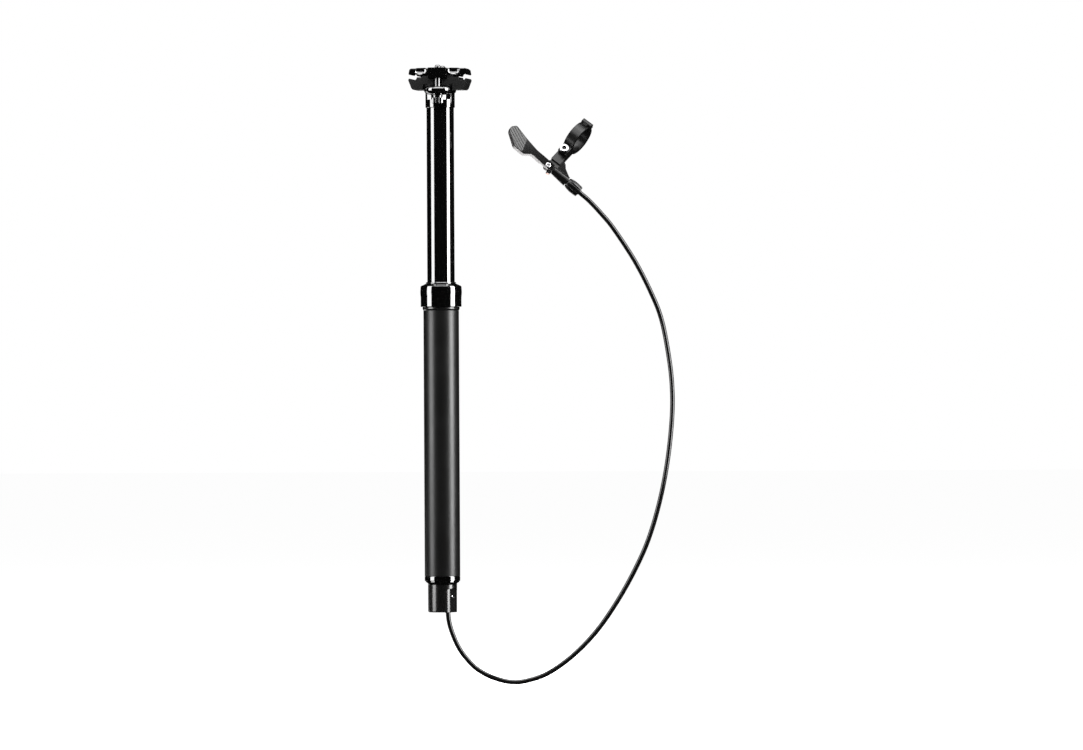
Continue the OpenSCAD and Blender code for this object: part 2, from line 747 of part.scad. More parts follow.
module upper_clamp() {
    boss_x = nut_len / 2 + 1.5;
    boss_z = tilt_z - nut_r - 1;
    color(gloss_black) difference() {
        union() {
            rotate([90, 0, 0]) linear_extrude(height = clamp_len, center = true) polygon([
                [-clamp_w / 2 + 0.6, rails_z + jaw_gap], [-clamp_w / 2, rails_z + 2.2],
                [-clamp_w / 2 + 0.7, clamp_top_z - 1.8], [-clamp_w / 2 + 2.6, clamp_top_z - 0.4],
                [-boss_x, clamp_top_z], [boss_x, clamp_top_z],
                [clamp_w / 2 - 2.6, clamp_top_z - 0.4], [clamp_w / 2 - 0.7, clamp_top_z - 1.8],
                [clamp_w / 2, rails_z + 2.2], [clamp_w / 2 - 0.6, rails_z + jaw_gap],
                [rail_x, rails_z + jaw_gap], [rail_x, rails_z + seam_gap],
                [rail_x - rail_r - 1.4, rails_z + seam_gap], [rail_x - rail_r - 3.4, rails_z + 2.2],
                [boss_x + 1.5, rails_z + 2.2], [boss_x, rails_z + 1.4],
                [-boss_x, rails_z + 1.4], [-boss_x - 1.5, rails_z + 2.2],
                [-rail_x + rail_r + 3.4, rails_z + 2.2], [-rail_x + rail_r + 1.4, rails_z + seam_gap],
                [-rail_x, rails_z + seam_gap], [-rail_x, rails_z + jaw_gap]
            ]);
            for (side = [-1, 1]) {
                translate([0, side * bolt_y, (boss_z + clamp_top_z) / 2])
                    cube([2 * boss_x, 2 * nut_r + 3, clamp_top_z - boss_z], center = true);
            }
        }
        rail_cuts();
        for (side = [-1, 1]) {
            translate([0, side * bolt_y, tilt_z]) along_x(nut_r + run_fit, 2 * boss_x + 2);
            at_bolt(side) rod(bolt_r + 1.1, -10, 10);
        }
    }
}

module barrel_nut(side) {
    color(steel) difference() {
        translate([0, side * bolt_y, tilt_z]) along_x(nut_r, nut_len);
        at_bolt(side) rod(nut_bore_r, -10, 10);
    }
}

module front_barrel_nut() {
    barrel_nut(-1);
}

module rear_barrel_nut() {
    barrel_nut(1);
}

// Cable
module cable_housing() {
    color(matte_black) rotate([0, 0, hang_turn])
        tube_along(curve(cable_points, cable_steps), cable_d / 2, cable_sides, [0, 1, 0]);
}

// Turns a shape from the remote's own frame to its place
module at_remote() {
    rotate([0, 0, hang_turn]) translate(remote_at)
        rotate([0, remote_turn, 0]) rotate([90 - remote_roll, 0, 0]) children();
}

// The handlebar clamp's frame: X away from the lever, Y to the band's side, Z along the bar
module at_ring() {
    at_remote() translate(ring_at) rotate([0, -bar_lean, 0]) rotate([90, 0, 90]) children();
}

// The barrel adjuster's frame: Z along the cable, out of the bracket
module at_barrel() {
    at_remote() translate(barrel_at) rotate([0, 0, barrel_lean]) rotate([0, 90, 0]) children();
}

// The hinge end of the handlebar clamp
module at_hinge() {
    at_ring() rotate([0, 0, hinge_a]) translate([hinge_r, 0, 0]) children();
}

// Outline of the web between the bracket's arm and its barrel
function gusset_outline() = [
    [6, 15.5], [10.8, 13.6], [13.6, 10.6], [20.4, 7.4], [21, 4.5], [8, 3], [6, 6]
];

module remote_bracket() {
    knuckle_r = hinge_pin_r + 1.3;
    knuckle_w = ring_w * 0.28;
    color(matte_black) difference() {
        union() {
            at_remote() {
                rod(boss_r, tongue_low, tongue_top);
                translate([0, 0.2, tongue_low]) cube([8, boss_r + 1.8, tongue_top - tongue_low]);
                translate([-2.4, 1.5, tongue_low]) cube([6.4, 4.7, tongue_top - tongue_low]);
                translate([0, 0, tongue_low - 0.6]) linear_extrude(height = 4.2)
                    polygon(gusset_outline());
            }
            at_barrel() translate([0, 0, -barrel_len]) cylinder(r1 = 3.6, r2 = 4.7, h = barrel_len);
            at_ring() {
                translate([-ring_at.y + boss_r, -7, -ring_w / 2]) cube([14, 4.4, ring_w]);
                translate([-ring_at.y + 9, -6.5, -ring_w / 2])
                    cube([ring_at.y - 9 - bar_r, 6.2, ring_w]);
                intersection() {
                    cylinder(r = ring_r, h = ring_w, center = true);
                    wedge(180, 360 + hinge_a, 2 * ring_r, ring_w + 2);
                }
            }
            at_hinge() {
                cylinder(r = knuckle_r, h = ring_w, center = true);
                translate([-2.4, -4.5, -ring_w / 2 + 0.2]) cube([3, 4.2, ring_w - 0.4]);
            }
        }
        at_hinge() cylinder(r = knuckle_r + move_gap, h = ring_w - 2 * knuckle_w, center = true);
        at_ring() cylinder(r = bar_r, h = 4 * ring_w, center = true);
        at_ring() translate([screw_at, 0, 0]) along_y(clamp_screw_r + seat_gap, 14);
        at_hinge() cylinder(r = hinge_pin_r + seat_gap, h = ring_w + 2, center = true);
        at_remote() rod(pivot_d / 2 + seat_gap, tongue_low - 1, tongue_top + 1);
        at_barrel() rod(stem_r + run_fit, -stem_len - 0.5, 5);
        at_barrel() rod(wire_bore_r, -barrel_len - 3, 1);
        at_remote() translate([mouth_at.x, mouth_at.y, barrel_at.z]) rotate([0, 0, wire_turn])
            translate([-2, 0, 0]) rotate([0, 90, 0]) cylinder(r = wire_bore_r + 0.2, h = wire_run + 2);
    }
}

module clamp_band() {
    knuckle_r = hinge_pin_r + 1.3;
    knuckle_w = ring_w * 0.4;
    color(matte_black) difference() {
        union() {
            at_ring() {
                intersection() {
                    cylinder(r = ring_r - 0.2, h = ring_w - 0.8, center = true);
                    wedge(hinge_a + 12, 176, 2 * ring_r, ring_w + 2);
                }
                translate([screw_at - 3.4, 1, -ring_w / 2 + 0.6])
                    cube([-screw_at + 3.4 - bar_r, 3.4, ring_w - 1.2]);
            }
            at_hinge() {
                cylinder(r = knuckle_r, h = knuckle_w, center = true);
                rotate([0, 0, 120]) translate([0, -1.2, -knuckle_w / 2]) cube([5.4, 2.6, knuckle_w]);
            }
        }
        at_ring() cylinder(r = bar_r, h = 4 * ring_w, center = true);
        at_ring() translate([screw_at, 0, 0]) along_y(clamp_screw_r + 0.2, 14);
        at_hinge() cylinder(r = hinge_pin_r + seat_gap, h = ring_w + 2, center = true);
    }
}

module clamp_hinge_pin() {
    color(steel) at_hinge() cylinder(r = hinge_pin_r, h = ring_w - 0.2, center = true);
}

module clamp_screw() {
    ear_top = 4.4 + seat_gap;
    color(steel) at_ring() translate([screw_at, 0, 0]) rotate([-90, 0, 0]) difference() {
        union() {
            rod(clamp_screw_r, -6, ear_top + eps);
            rod(3.7, ear_top, ear_top + 3.6);
        }
        translate([0, 0, ear_top + 1.4]) cylinder(d = 3.45, h = 3, $fn = 6);
    }
}

module lever_pivot_bolt() {
    color(steel) at_remote() difference() {
        union() {
            rod(pivot_d / 2, tongue_low, lever_top + 0.1 + eps);
            rod(pivot_d / 2 + 0.9, lever_top + 0.1, lever_top + 0.9);
        }
        translate([0, 0, lever_top]) cylinder(d = 1.9, h = 3, $fn = 6);
    }
}

// Outline of the thumb lever seen from above, from its tip round by the bar side
function lever_outline() = [
    [1.6 - lever_len, -1], [-lever_len, 3], [3.4 - lever_len, 7.5], [18.1 - lever_len, 4.9],
    [-16.4, 3.5], [-3.7, 4.2], [4.8, 3.6], [4.8, -2.4], [-6, -2.5], [-17.5, -2.8],
    [25 - lever_len, -8.1], [14.3 - lever_len, -8.7]
];

module thumb_lever() {
    color(matte_black) at_remote() difference() {
        union() {
            translate([0, 0, lever_low]) linear_extrude(height = lever_t) polygon(lever_outline());
            translate([anchor_at.x, anchor_at.y, 0])
                rod(anchor_r + 0.3, lever_end_low, lever_end_low + 1.6);
            translate([anchor_at.x - 2.2, anchor_at.y, lever_end_low]) cube([3.5, 2, 1.6]);
        }
        translate([-7, -10, lever_low - 1]) cube([20, 20, lever_end_low - lever_low + 1]);
        rod(pivot_d / 2 + 0.6 + seat_gap, lever_low - 1, lever_top + 1);
        translate([anchor_at.x, anchor_at.y, 0])
            rod(anchor_screw_r + seat_gap, lever_low, lever_top + 1);
    }
}

module pivot_bush() {
    color(brass) at_remote()
        ring(pivot_d / 2 + run_fit, pivot_d / 2 + 0.6, lever_end_low, lever_top);
}

module cable_anchor() {
    color(copper) at_remote() translate([anchor_at.x, anchor_at.y, 0])
        ring(anchor_screw_r + seat_gap, anchor_r, tongue_low, lever_end_low - seat_gap);
}

module anchor_screw() {
    color(steel) at_remote() translate([anchor_at.x, anchor_at.y, 0]) {
        rod(anchor_screw_r, tongue_low - 0.5, lever_end_low + 1.2);
        rod(anchor_r - 0.3, tongue_low - 1, tongue_low - seat_gap);
    }
}

module lever_wire() {
    color(steel) at_remote() translate([mouth_at.x, mouth_at.y, barrel_at.z])
        rotate([0, 0, wire_turn]) rotate([0, 90, 0]) rod(wire_r, 0, wire_run - anchor_r - move_gap);
}

module barrel_adjuster() {
    color(matte_black) at_barrel() difference() {
        union() {
            rotate_extrude() polygon([
                [0, adj_gap], [adj_d / 2 - 2, adj_gap], [adj_d / 2 - 0.9, adj_gap + adj_len * 0.12],
                [adj_d / 2 - 0.15, adj_gap + adj_len * 0.32], [adj_d / 2, adj_gap + adj_len * 0.52],
                [adj_d / 2 - 0.2, adj_gap + adj_len * 0.78], [adj_d / 2 - 0.5, adj_end - 0.4],
                [adj_d / 2 - 0.9, adj_end], [0, adj_end]
            ]);
            rod(stem_r, -stem_len, adj_gap + eps);
        }
        rod(adj_bore_r, adj_stop, adj_end + 1);
        rod(wire_bore_r, -stem_len - 1, adj_stop + 1);
        for (i = [0 : flute_count - 1]) rotate([0, 0, 360 * i / flute_count])
            translate([adj_d / 2 + 0.35, 0, adj_gap + 2]) cylinder(r = 0.8, h = adj_len);
    }
}

module adjuster_ferrule() {
    top = adj_stop + 0.1;
    color(gloss_black) at_barrel() difference() {
        rod(ferrule_r, top, adj_end + 0.5);
        rod(cable_d / 2 + 0.1, top + 0.7, adj_end + 2);
        rod(wire_bore_r, top - 1, adj_end);
    }
}

outer_tube();
seal_collar();
wiper_seal();
collar_o_ring();
upper_bush();
base_plug();
actuator_housing();
actuator_grub_screw();
cam_pivot_pin();
lower_ferrule();
release_spring();
piston_rod();
piston();
piston_seal();
inner_tube();
post_head();
lower_bush();
guide_keys();
gas_cylinder();
cylinder_cap();
rod_guide();
rod_seal();
top_out_bumper();
clamp_bolts();
bolt_washers();
lower_cradle();
upper_clamp();
front_barrel_nut();
rear_barrel_nut();
floating_piston();
floating_seal();
release_pin();
release_cam();
cable_nipple();
cam_wire();
cable_housing();
remote_bracket();
clamp_band();
clamp_hinge_pin();
clamp_screw();
lever_pivot_bolt();
thumb_lever();
pivot_bush();
cable_anchor();
anchor_screw();
lever_wire();
barrel_adjuster();
adjuster_ferrule();
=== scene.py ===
"""Looks of a dropper seatpost with its handlebar remote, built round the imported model."""
import json
import logging
import math
from contextlib import contextmanager
from dataclasses import dataclass, field
from enum import Enum
from typing import Any, Callable, Iterator, Sequence

import bpy
from mathutils import Matrix, Vector


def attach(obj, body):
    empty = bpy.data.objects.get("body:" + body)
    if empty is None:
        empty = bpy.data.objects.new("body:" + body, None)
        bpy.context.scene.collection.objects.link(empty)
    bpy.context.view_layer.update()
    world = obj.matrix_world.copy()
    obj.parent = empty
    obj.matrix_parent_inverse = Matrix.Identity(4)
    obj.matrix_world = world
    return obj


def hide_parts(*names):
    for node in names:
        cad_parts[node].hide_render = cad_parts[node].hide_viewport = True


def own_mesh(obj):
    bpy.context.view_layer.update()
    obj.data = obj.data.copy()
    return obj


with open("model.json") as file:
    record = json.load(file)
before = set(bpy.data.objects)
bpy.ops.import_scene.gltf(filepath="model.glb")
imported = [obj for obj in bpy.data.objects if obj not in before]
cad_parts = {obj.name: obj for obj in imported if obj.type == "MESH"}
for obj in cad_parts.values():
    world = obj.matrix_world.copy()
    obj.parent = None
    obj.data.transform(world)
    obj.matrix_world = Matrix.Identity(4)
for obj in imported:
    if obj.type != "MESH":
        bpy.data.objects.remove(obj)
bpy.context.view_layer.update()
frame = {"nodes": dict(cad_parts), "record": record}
LOG = logging.getLogger("dropper_seatpost")
# A millimetre and the reach of a merge, in metres
MM = 0.001
MERGE_AT = 2e-6
# Most of a side that the rounding of one corner takes
CORNER_PART = 0.45

Point = tuple[float, float, float]
Pair = tuple[float, float]
Outline = tuple[Pair, ...]
Object = bpy.types.Object
Material = bpy.types.Material
NodeTree = bpy.types.NodeTree
Node = bpy.types.Node
Socket = bpy.types.NodeSocket


class Body(str, Enum):
    """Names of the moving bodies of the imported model."""

    OUTER = "outer_post"
    INNER = "inner_post"
    SADDLE = "saddle_clamp"
    LEVER = "lever"
    ADJUSTER = "adjuster"


class Slot(str, Enum):
    """Names of the record's material slots."""

    MATTE = "matte_black_alloy"
    GLOSS = "gloss_black_alloy"
    RUBBER = "black_rubber"
    BRASS = "bearing_brass"
    STEEL = "bright_steel"
    ALLOY = "bare_alloy"
    DARK = "dark_steel"
    COPPER = "copper_anchor"
    PLASTIC = "black_plastic"


class Mix(str, Enum):
    """Ways to combine two solids."""

    CUT = "DIFFERENCE"
    FUSE = "UNION"
    KEEP = "INTERSECT"


class Axis(Enum):
    """Directions that a round cutter can lie along, as the turn that lays it there."""

    X = (0.0, math.pi / 2, 0.0)
    Y = (math.pi / 2, 0.0, 0.0)
    Z = (0.0, 0.0, 0.0)


# Frames of the hanging parts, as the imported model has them
HANG_DEG = 7.0
HANG = Matrix.Rotation(math.radians(HANG_DEG), 4, "Z")


def turn(axis: str, degrees: float) -> Matrix:
    """Return a turn about one axis."""
    return Matrix.Rotation(math.radians(degrees), 4, axis)


def shift(x: float, y: float, z: float) -> Matrix:
    """Return a move given in millimetres."""
    return Matrix.Translation(Vector((x, y, z)) * MM)


REMOTE = HANG @ shift(95.3, 0, 129.9) @ turn("Y", 43.3) @ turn("X", 70)
RING = REMOTE @ shift(2.1, 39.2, 0) @ turn("Y", -18) @ turn("Z", 90) @ turn("X", 90)
BARREL = REMOTE @ shift(22, 2.75, -2.5) @ turn("Z", 3) @ turn("Y", 90)
CAM = HANG @ turn("Z", -35)


# Workshop: the few operations that every piece is made with

@contextmanager
def editing(piece: Object) -> Iterator[None]:
    """Work on one piece in edit mode.

    Args:
        piece: The piece to edit, which is then the only one selected.
    """
    select_only(piece)
    bpy.ops.object.mode_set(mode="EDIT")
    bpy.ops.mesh.select_mode(type="VERT")
    bpy.ops.mesh.select_all(action="SELECT")
    yield
    bpy.ops.object.mode_set(mode="OBJECT")


def select_only(piece: Object) -> None:
    """Deselect everything, then select one piece and make it active."""
    bpy.ops.object.select_all(action="DESELECT")
    piece.select_set(True)
    bpy.context.view_layer.objects.active = piece


def named(name: str) -> Object:
    """Name the piece that an operator has just added."""
    piece = bpy.context.object
    piece.name = piece.data.name = name
    return piece


def line(name: str, points: Sequence[Point], closed: bool = True) -> Object:
    """Draw a line of edges by extruding one vertex from point to point.

    Args:
        name: Name of the piece.
        points: Its corners, in millimetres.
        closed: Whether the last point joins the first.

    Returns:
        The piece, which has edges and no faces yet.
    """
    bpy.ops.mesh.primitive_plane_add(size=MM)
    piece = named(name)
    stops = [Vector(p) * MM for p in points]
    stops += stops[:1] if closed else []
    with editing(piece):
        bpy.ops.mesh.merge(type="CENTER")
        bpy.ops.transform.translate(value=stops[0])
        for here, there in zip(stops, stops[1:]):
            bpy.ops.mesh.extrude_region_move(TRANSFORM_OT_translate={"value": there - here})
        bpy.ops.mesh.select_all(action="SELECT")
        bpy.ops.mesh.remove_doubles(threshold=MERGE_AT)
    return piece


def turned(name: str, profile: Sequence[Pair], steps: int = 96, closed: bool = True) -> Object:
    """Turn an outline about the Z axis, as on a lathe.

    Args:
        name: Name of the piece.
        profile: Radius and height of each corner, in millimetres.
        steps: Faces round the piece.
        closed: Whether the outline is a ring; an open one starts and ends on the axis.

    Returns:
        The turned piece.
    """
    piece = line(name, [(r, 0.0, z) for r, z in profile], closed)
    with editing(piece):
        bpy.ops.mesh.spin(steps=steps, angle=math.tau, center=(0, 0, 0), axis=(0, 0, 1))
        bpy.ops.mesh.select_all(action="SELECT")
        bpy.ops.mesh.remove_doubles(threshold=MERGE_AT)
        bpy.ops.mesh.normals_make_consistent(inside=False)
    return piece


def plate(name: str, outline: Sequence[Pair], low: float, high: float) -> Object:
    """Extrude a flat outline along Z.

    Args:
        name: Name of the piece.
        outline: Its corners, in millimetres.
        low: Height of its lower face.
        high: Height of its upper face.

    Returns:
        The plate.
    """
    piece = line(name, [(x, y, low) for x, y in outline])
    with editing(piece):
        bpy.ops.mesh.edge_face_add()
        rise = (0, 0, (high - low) * MM)
        bpy.ops.mesh.extrude_region_move(TRANSFORM_OT_translate={"value": rise})
        bpy.ops.mesh.select_all(action="SELECT")
        bpy.ops.mesh.normals_make_consistent(inside=False)
    return piece


def block(low: Point, high: Point) -> Object:
    """Add a box for cutting or joining.

    Args:
        low: Its corner with the least values, in millimetres.
        high: Its corner with the greatest values.

    Returns:
        The box.
    """
    a, b = Vector(low) * MM, Vector(high) * MM
    bpy.ops.mesh.primitive_cube_add(size=1, location=(a + b) / 2, scale=b - a)
    bpy.ops.object.transform_apply()
    return named("box_tool")


def drum(radius: float, length: float, at: Point, axis: Axis = Axis.Z, sides: int = 64) -> Object:
    """Add a cylinder for cutting or joining.

    Args:
        radius: Its radius in millimetres.
        length: Its length in millimetres.
        at: Its middle, in millimetres.
        axis: The direction that it lies along.
        sides: Faces round it; 6 makes a hexagon, whose radius is to its corners.

    Returns:
        The cylinder.
    """
    bpy.ops.mesh.primitive_cylinder_add(vertices=sides, radius=radius * MM, depth=length * MM,
                                        location=Vector(at) * MM, rotation=axis.value)
    bpy.ops.object.transform_apply()
    return named("drum_tool")


def cad_copy(name: str, node: str) -> Object:
    """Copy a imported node's mesh as one clean solid to work on.

    Args:
        name: Name of the new piece.
        node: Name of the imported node.

    Returns:
        The copy, merged and with its flat faces whole.
    """
    piece = bpy.data.objects.new(name, frame["nodes"][node].data.copy())
    piece.data.name = name
    piece.data.materials.clear()
    bpy.context.scene.collection.objects.link(piece)
    with editing(piece):
        bpy.ops.mesh.customdata_custom_splitnormals_clear()
    clean(piece)
    return piece


def clean(piece: Object, degrees: float = 1.0) -> None:
    """Merge what touches and make flat faces whole."""
    with editing(piece):
        bpy.ops.mesh.remove_doubles(threshold=MERGE_AT)
        bpy.ops.mesh.dissolve_limited(angle_limit=math.radians(degrees))


def settle(piece: Object, place: Matrix) -> Object:
    """Move a piece to its place and keep that place in its mesh.

    Args:
        piece: The piece.
        place: Its new frame.

    Returns:
        The same piece.
    """
    piece.matrix_world = place
    select_only(piece)
    bpy.ops.object.transform_apply()
    return piece


def combine(piece: Object, other: Object, how: Mix) -> Object:
    """Cut, fuse or keep a piece by another, which is used up.

    Args:
        piece: The piece that is changed.
        other: The piece that changes it.
        how: The way they combine.

    Returns:
        The changed piece.
    """
    tool = piece.modifiers.new(how.name.lower(), "BOOLEAN")
    tool.operation = how.value
    tool.solver = "EXACT"
    tool.object = other
    select_only(piece)
    bpy.ops.object.modifier_apply(modifier=tool.name)
    bpy.data.objects.remove(other, do_unlink=True)
    return piece


def cut(piece: Object, *tools: Object) -> Object:
    """Cut a piece by each of several tools."""
    for tool in tools:
        combine(piece, tool, Mix.CUT)
    return piece


def fuse(piece: Object, *others: Object) -> Object:
    """Fuse several solids to a piece."""
    for other in others:
        combine(piece, other, Mix.FUSE)
    return piece


def round_edges(piece: Object, width: float, segments: int = 3, degrees: float = 32.0) -> Object:
    """Round every edge that is sharper than an angle.

    Args:
        piece: The piece to round.
        width: Width of the rounding in millimetres.
        segments: Faces across it.
        degrees: The least angle that is rounded.

    Returns:
        The rounded piece.
    """
    clean(piece)
    tool = piece.modifiers.new("rounding", "BEVEL")
    tool.width = width * MM
    tool.segments = segments
    tool.limit_method = "ANGLE"
    tool.angle_limit = math.radians(degrees)
    select_only(piece)
    bpy.ops.object.modifier_apply(modifier=tool.name)
    return piece


def rounded(corners: Sequence[Pair], reach: float, steps: int = 5) -> list[Pair]:
    """Round the corners of a flat outline.

    Args:
        corners: The outline's corners.
        reach: How far from its corner a rounding starts.
        steps: Points on each rounding.

    Returns:
        The outline with a curve at each corner.
    """
    made = []
    for i, corner in enumerate(corners):
        here = Vector(corner)
        back, on = (Vector(corners[k % len(corners)]) - here for k in (i - 1, i + 1))
        start = here + back.normalized() * min(reach, back.length * CORNER_PART)
        end = here + on.normalized() * min(reach, on.length * CORNER_PART)
        for k in range(steps):
            t = k / (steps - 1)
            made.append(tuple((1 - t) ** 2 * start + 2 * t * (1 - t) * here + t ** 2 * end))
    return made


def curve_through(points: Sequence[Vector], steps: int) -> list[Vector]:
    """Draw a smooth line through points.

    Args:
        points: The points that it passes.
        steps: Parts of each span between them.

    Returns:
        The points of the line.
    """
    last = len(points) - 1
    made = []
    for i in range(last):
        a, b, c, d = (points[max(0, min(last, i + k))] for k in (-1, 0, 1, 2))
        for k in range(steps):
            t = k / steps
            made.append(0.5 * (2 * b + (c - a) * t + (2 * a - 5 * b + 4 * c - d) * t ** 2
                               + (3 * b - a - 3 * c + d) * t ** 3))
    return made + [points[last]]


def bend(points: Sequence[Pair], steps: int = 4) -> list[Pair]:
    """Return a smooth flat line through a few points."""
    return [(p.x, p.y) for p in curve_through([Vector(p) for p in points], steps)]


def wire(name: str, points: Sequence[Vector], diameter: float, fineness: int) -> Object:
    """Draw a round wire along points.

    Args:
        name: Name of the piece.
        points: Its middle line, in metres.
        diameter: Its thickness in millimetres.
        fineness: How finely its round is divided.

    Returns:
        The wire, as a curve.
    """
    curve = bpy.data.curves.new(name, "CURVE")
    curve.dimensions = "3D"
    curve.bevel_depth = diameter * MM / 2
    curve.bevel_resolution = fineness
    curve.use_fill_caps = True
    spline = curve.splines.new("POLY")
    spline.use_smooth = True
    spline.points.add(len(points) - 1)
    for spot, point in zip(spline.points, points):
        spot.co = (*point, 1.0)
    piece = bpy.data.objects.new(name, curve)
    bpy.context.scene.collection.objects.link(piece)
    return piece


# Finishes: shader nodes, shared effects and the material of each slot

def grey(value: float) -> Point:
    """Return a neutral colour."""
    return (value, value, value)


def fill(node: Node, inputs: dict[str | int, Any]) -> Node:
    """Fill a node's inputs.

    Args:
        node: The node.
        inputs: A value, or a socket to link, for each input by name or number.

    Returns:
        The node.
    """
    for label, value in inputs.items():
        if isinstance(value, Socket):
            node.id_data.links.new(value, node.inputs[label])
        else:
            node.inputs[label].default_value = value
    return node


def add_node(tree: NodeTree, kind: str, inputs: dict[str | int, Any], **choices: Any) -> Node:
    """Add a shader node.

    Args:
        tree: The nodes that it joins.
        kind: Its type, without the start that all types share.
        inputs: A value, or a socket to link, for each input by name or number.
        **choices: Its own settings, by name.

    Returns:
        The node.
    """
    node = tree.nodes.new("ShaderNode" + kind)
    for label, value in choices.items():
        setattr(node, label, value)
    return fill(node, inputs)


def blend_colours(tree: NodeTree, share: Socket, dark: Point, light: Point) -> Socket:
    """Return a socket that goes from a dark to a light colour as a share grows."""
    mix = add_node(tree, "Mix", {0: share, 6: (*dark, 1.0), 7: (*light, 1.0)}, data_type="RGBA")
    return mix.outputs[2]


def new_material(name: str) -> tuple[Material, Node]:
    """Make a node material and return it with its shader."""
    made = bpy.data.materials.new(name)
    made.use_nodes = True
    return made, made.node_tree.nodes["Principled BSDF"]


class NodeGroups:
    """Shared shader effects, each built once and placed in the materials that use it."""

    coarse_scale: float = 0.23
    coarse_part: float = 0.4
    smudge_span: Pair = (0.35, 0.65)
    line_waver: float = 0.6

    def __init__(self) -> None:
        """Build every group."""
        self.grain = self._grain()
        self.smudge = self._smudge()
        self.turning = self._turning()

    @staticmethod
    def _new(name: str, outputs: Sequence[str], **inputs: float) -> NodeTree:
        """Make an empty group that reads coordinates and some values.

        Args:
            name: Name of the group.
            outputs: Name of each value that it gives.
            **inputs: Default of each value that it reads, by name.

        Returns:
            The new node tree, with its input and output nodes in it.
        """
        tree = bpy.data.node_groups.new(name, "ShaderNodeTree")
        socket = tree.interface.new_socket
        socket("Vector", in_out="INPUT", socket_type="NodeSocketVector")
        for label, value in inputs.items():
            socket(label, in_out="INPUT", socket_type="NodeSocketFloat").default_value = value
        for label in outputs:
            socket(label, in_out="OUTPUT", socket_type="NodeSocketFloat")
        tree.nodes.new("NodeGroupInput").name = "in"
        tree.nodes.new("NodeGroupOutput").name = "out"
        return tree

    def _grain(self) -> NodeTree:
        """Fine blasted grain at two scales, as a mask and as a height."""
        tree = self._new("blasted_grain", ("Mask", "Height"), Scale=3000.0)
        where, scale = tree.nodes["in"].outputs[:2]
        noise = add_node(tree, "TexNoise", {"Vector": where, "Scale": scale, "Detail": 4.0})
        fine = noise.outputs[0]
        wide = add_node(tree, "Math", {0: scale, 1: self.coarse_scale}, operation="MULTIPLY")
        coarse = add_node(tree, "TexNoise",
                          {"Vector": where, "Scale": wide.outputs[0], "Detail": 2.0})
        both = add_node(tree, "Math", {0: coarse.outputs[0], 1: self.coarse_part, 2: fine},
                        operation="MULTIPLY_ADD")
        fill(tree.nodes["out"], {"Mask": fine, "Height": both.outputs[0]})
        return tree

    def _smudge(self) -> NodeTree:
        """Roughness that drifts between two values, as handled metal has."""
        tree = self._new("handling_smudge", ("Roughness",), Scale=40.0, Low=0.1, High=0.2)
        where, scale, low, high = tree.nodes["in"].outputs[:4]
        noise = add_node(tree, "TexNoise", {"Vector": where, "Scale": scale, "Detail": 5.0})
        start, end = self.smudge_span
        span = add_node(tree, "MapRange", {"Value": noise.outputs[0], "From Min": start,
                                           "From Max": end, "To Min": low, "To Max": high})
        fill(tree.nodes["out"], {"Roughness": span.outputs["Result"]})
        return tree

    def _turning(self) -> NodeTree:
        """Fine tool lines across one direction, as a height."""
        tree = self._new("turning_lines", ("Height",), Scale=900.0)
        where, scale = tree.nodes["in"].outputs[:2]
        wave = add_node(tree, "TexWave", {"Vector": where, "Scale": scale, "Detail": 2.0,
                                          "Distortion": self.line_waver},
                        wave_type="BANDS", bands_direction="Z")
        fill(tree.nodes["out"], {"Height": wave.outputs["Fac"]})
        return tree


@dataclass(frozen=True)
class Finish:
    """A surface finish, written as one procedural material."""

    name: str
    dark: Point
    light: Point
    rough: Pair
    metallic: float = 0.0
    ior: float = 1.5
    grain: float = 3000.0
    bump: float = 0.05
    bump_mm: float = 0.02
    turning: float = 0.0
    smudge: float = 45.0

    def material(self, groups: NodeGroups) -> Material:
        """Write the finish as a node material.

        Args:
            groups: The shared effects.

        Returns:
            The material.
        """
        made, shader = new_material(self.name)
        tree = made.node_tree
        where = tree.nodes.new("ShaderNodeTexCoord").outputs["Object"]
        low, high = self.rough
        grain = add_node(tree, "Group", {"Vector": where, "Scale": self.grain},
                         node_tree=groups.grain)
        smudge = add_node(tree, "Group", {"Vector": where, "Scale": self.smudge, "Low": low,
                                          "High": high}, node_tree=groups.smudge)
        height = grain.outputs["Height"]
        if self.turning:
            lines = add_node(tree, "Group", {"Vector": where, "Scale": self.turning},
                             node_tree=groups.turning)
            height = lines.outputs["Height"]
        bump = add_node(tree, "Bump", {"Strength": self.bump, "Distance": self.bump_mm * MM,
                                       "Height": height})
        fill(shader, {
            "Base Color": blend_colours(tree, grain.outputs["Mask"], self.dark, self.light),
            "Roughness": smudge.outputs["Roughness"], "Metallic": self.metallic,
            "IOR": self.ior, "Normal": bump.outputs["Normal"]})
        return made


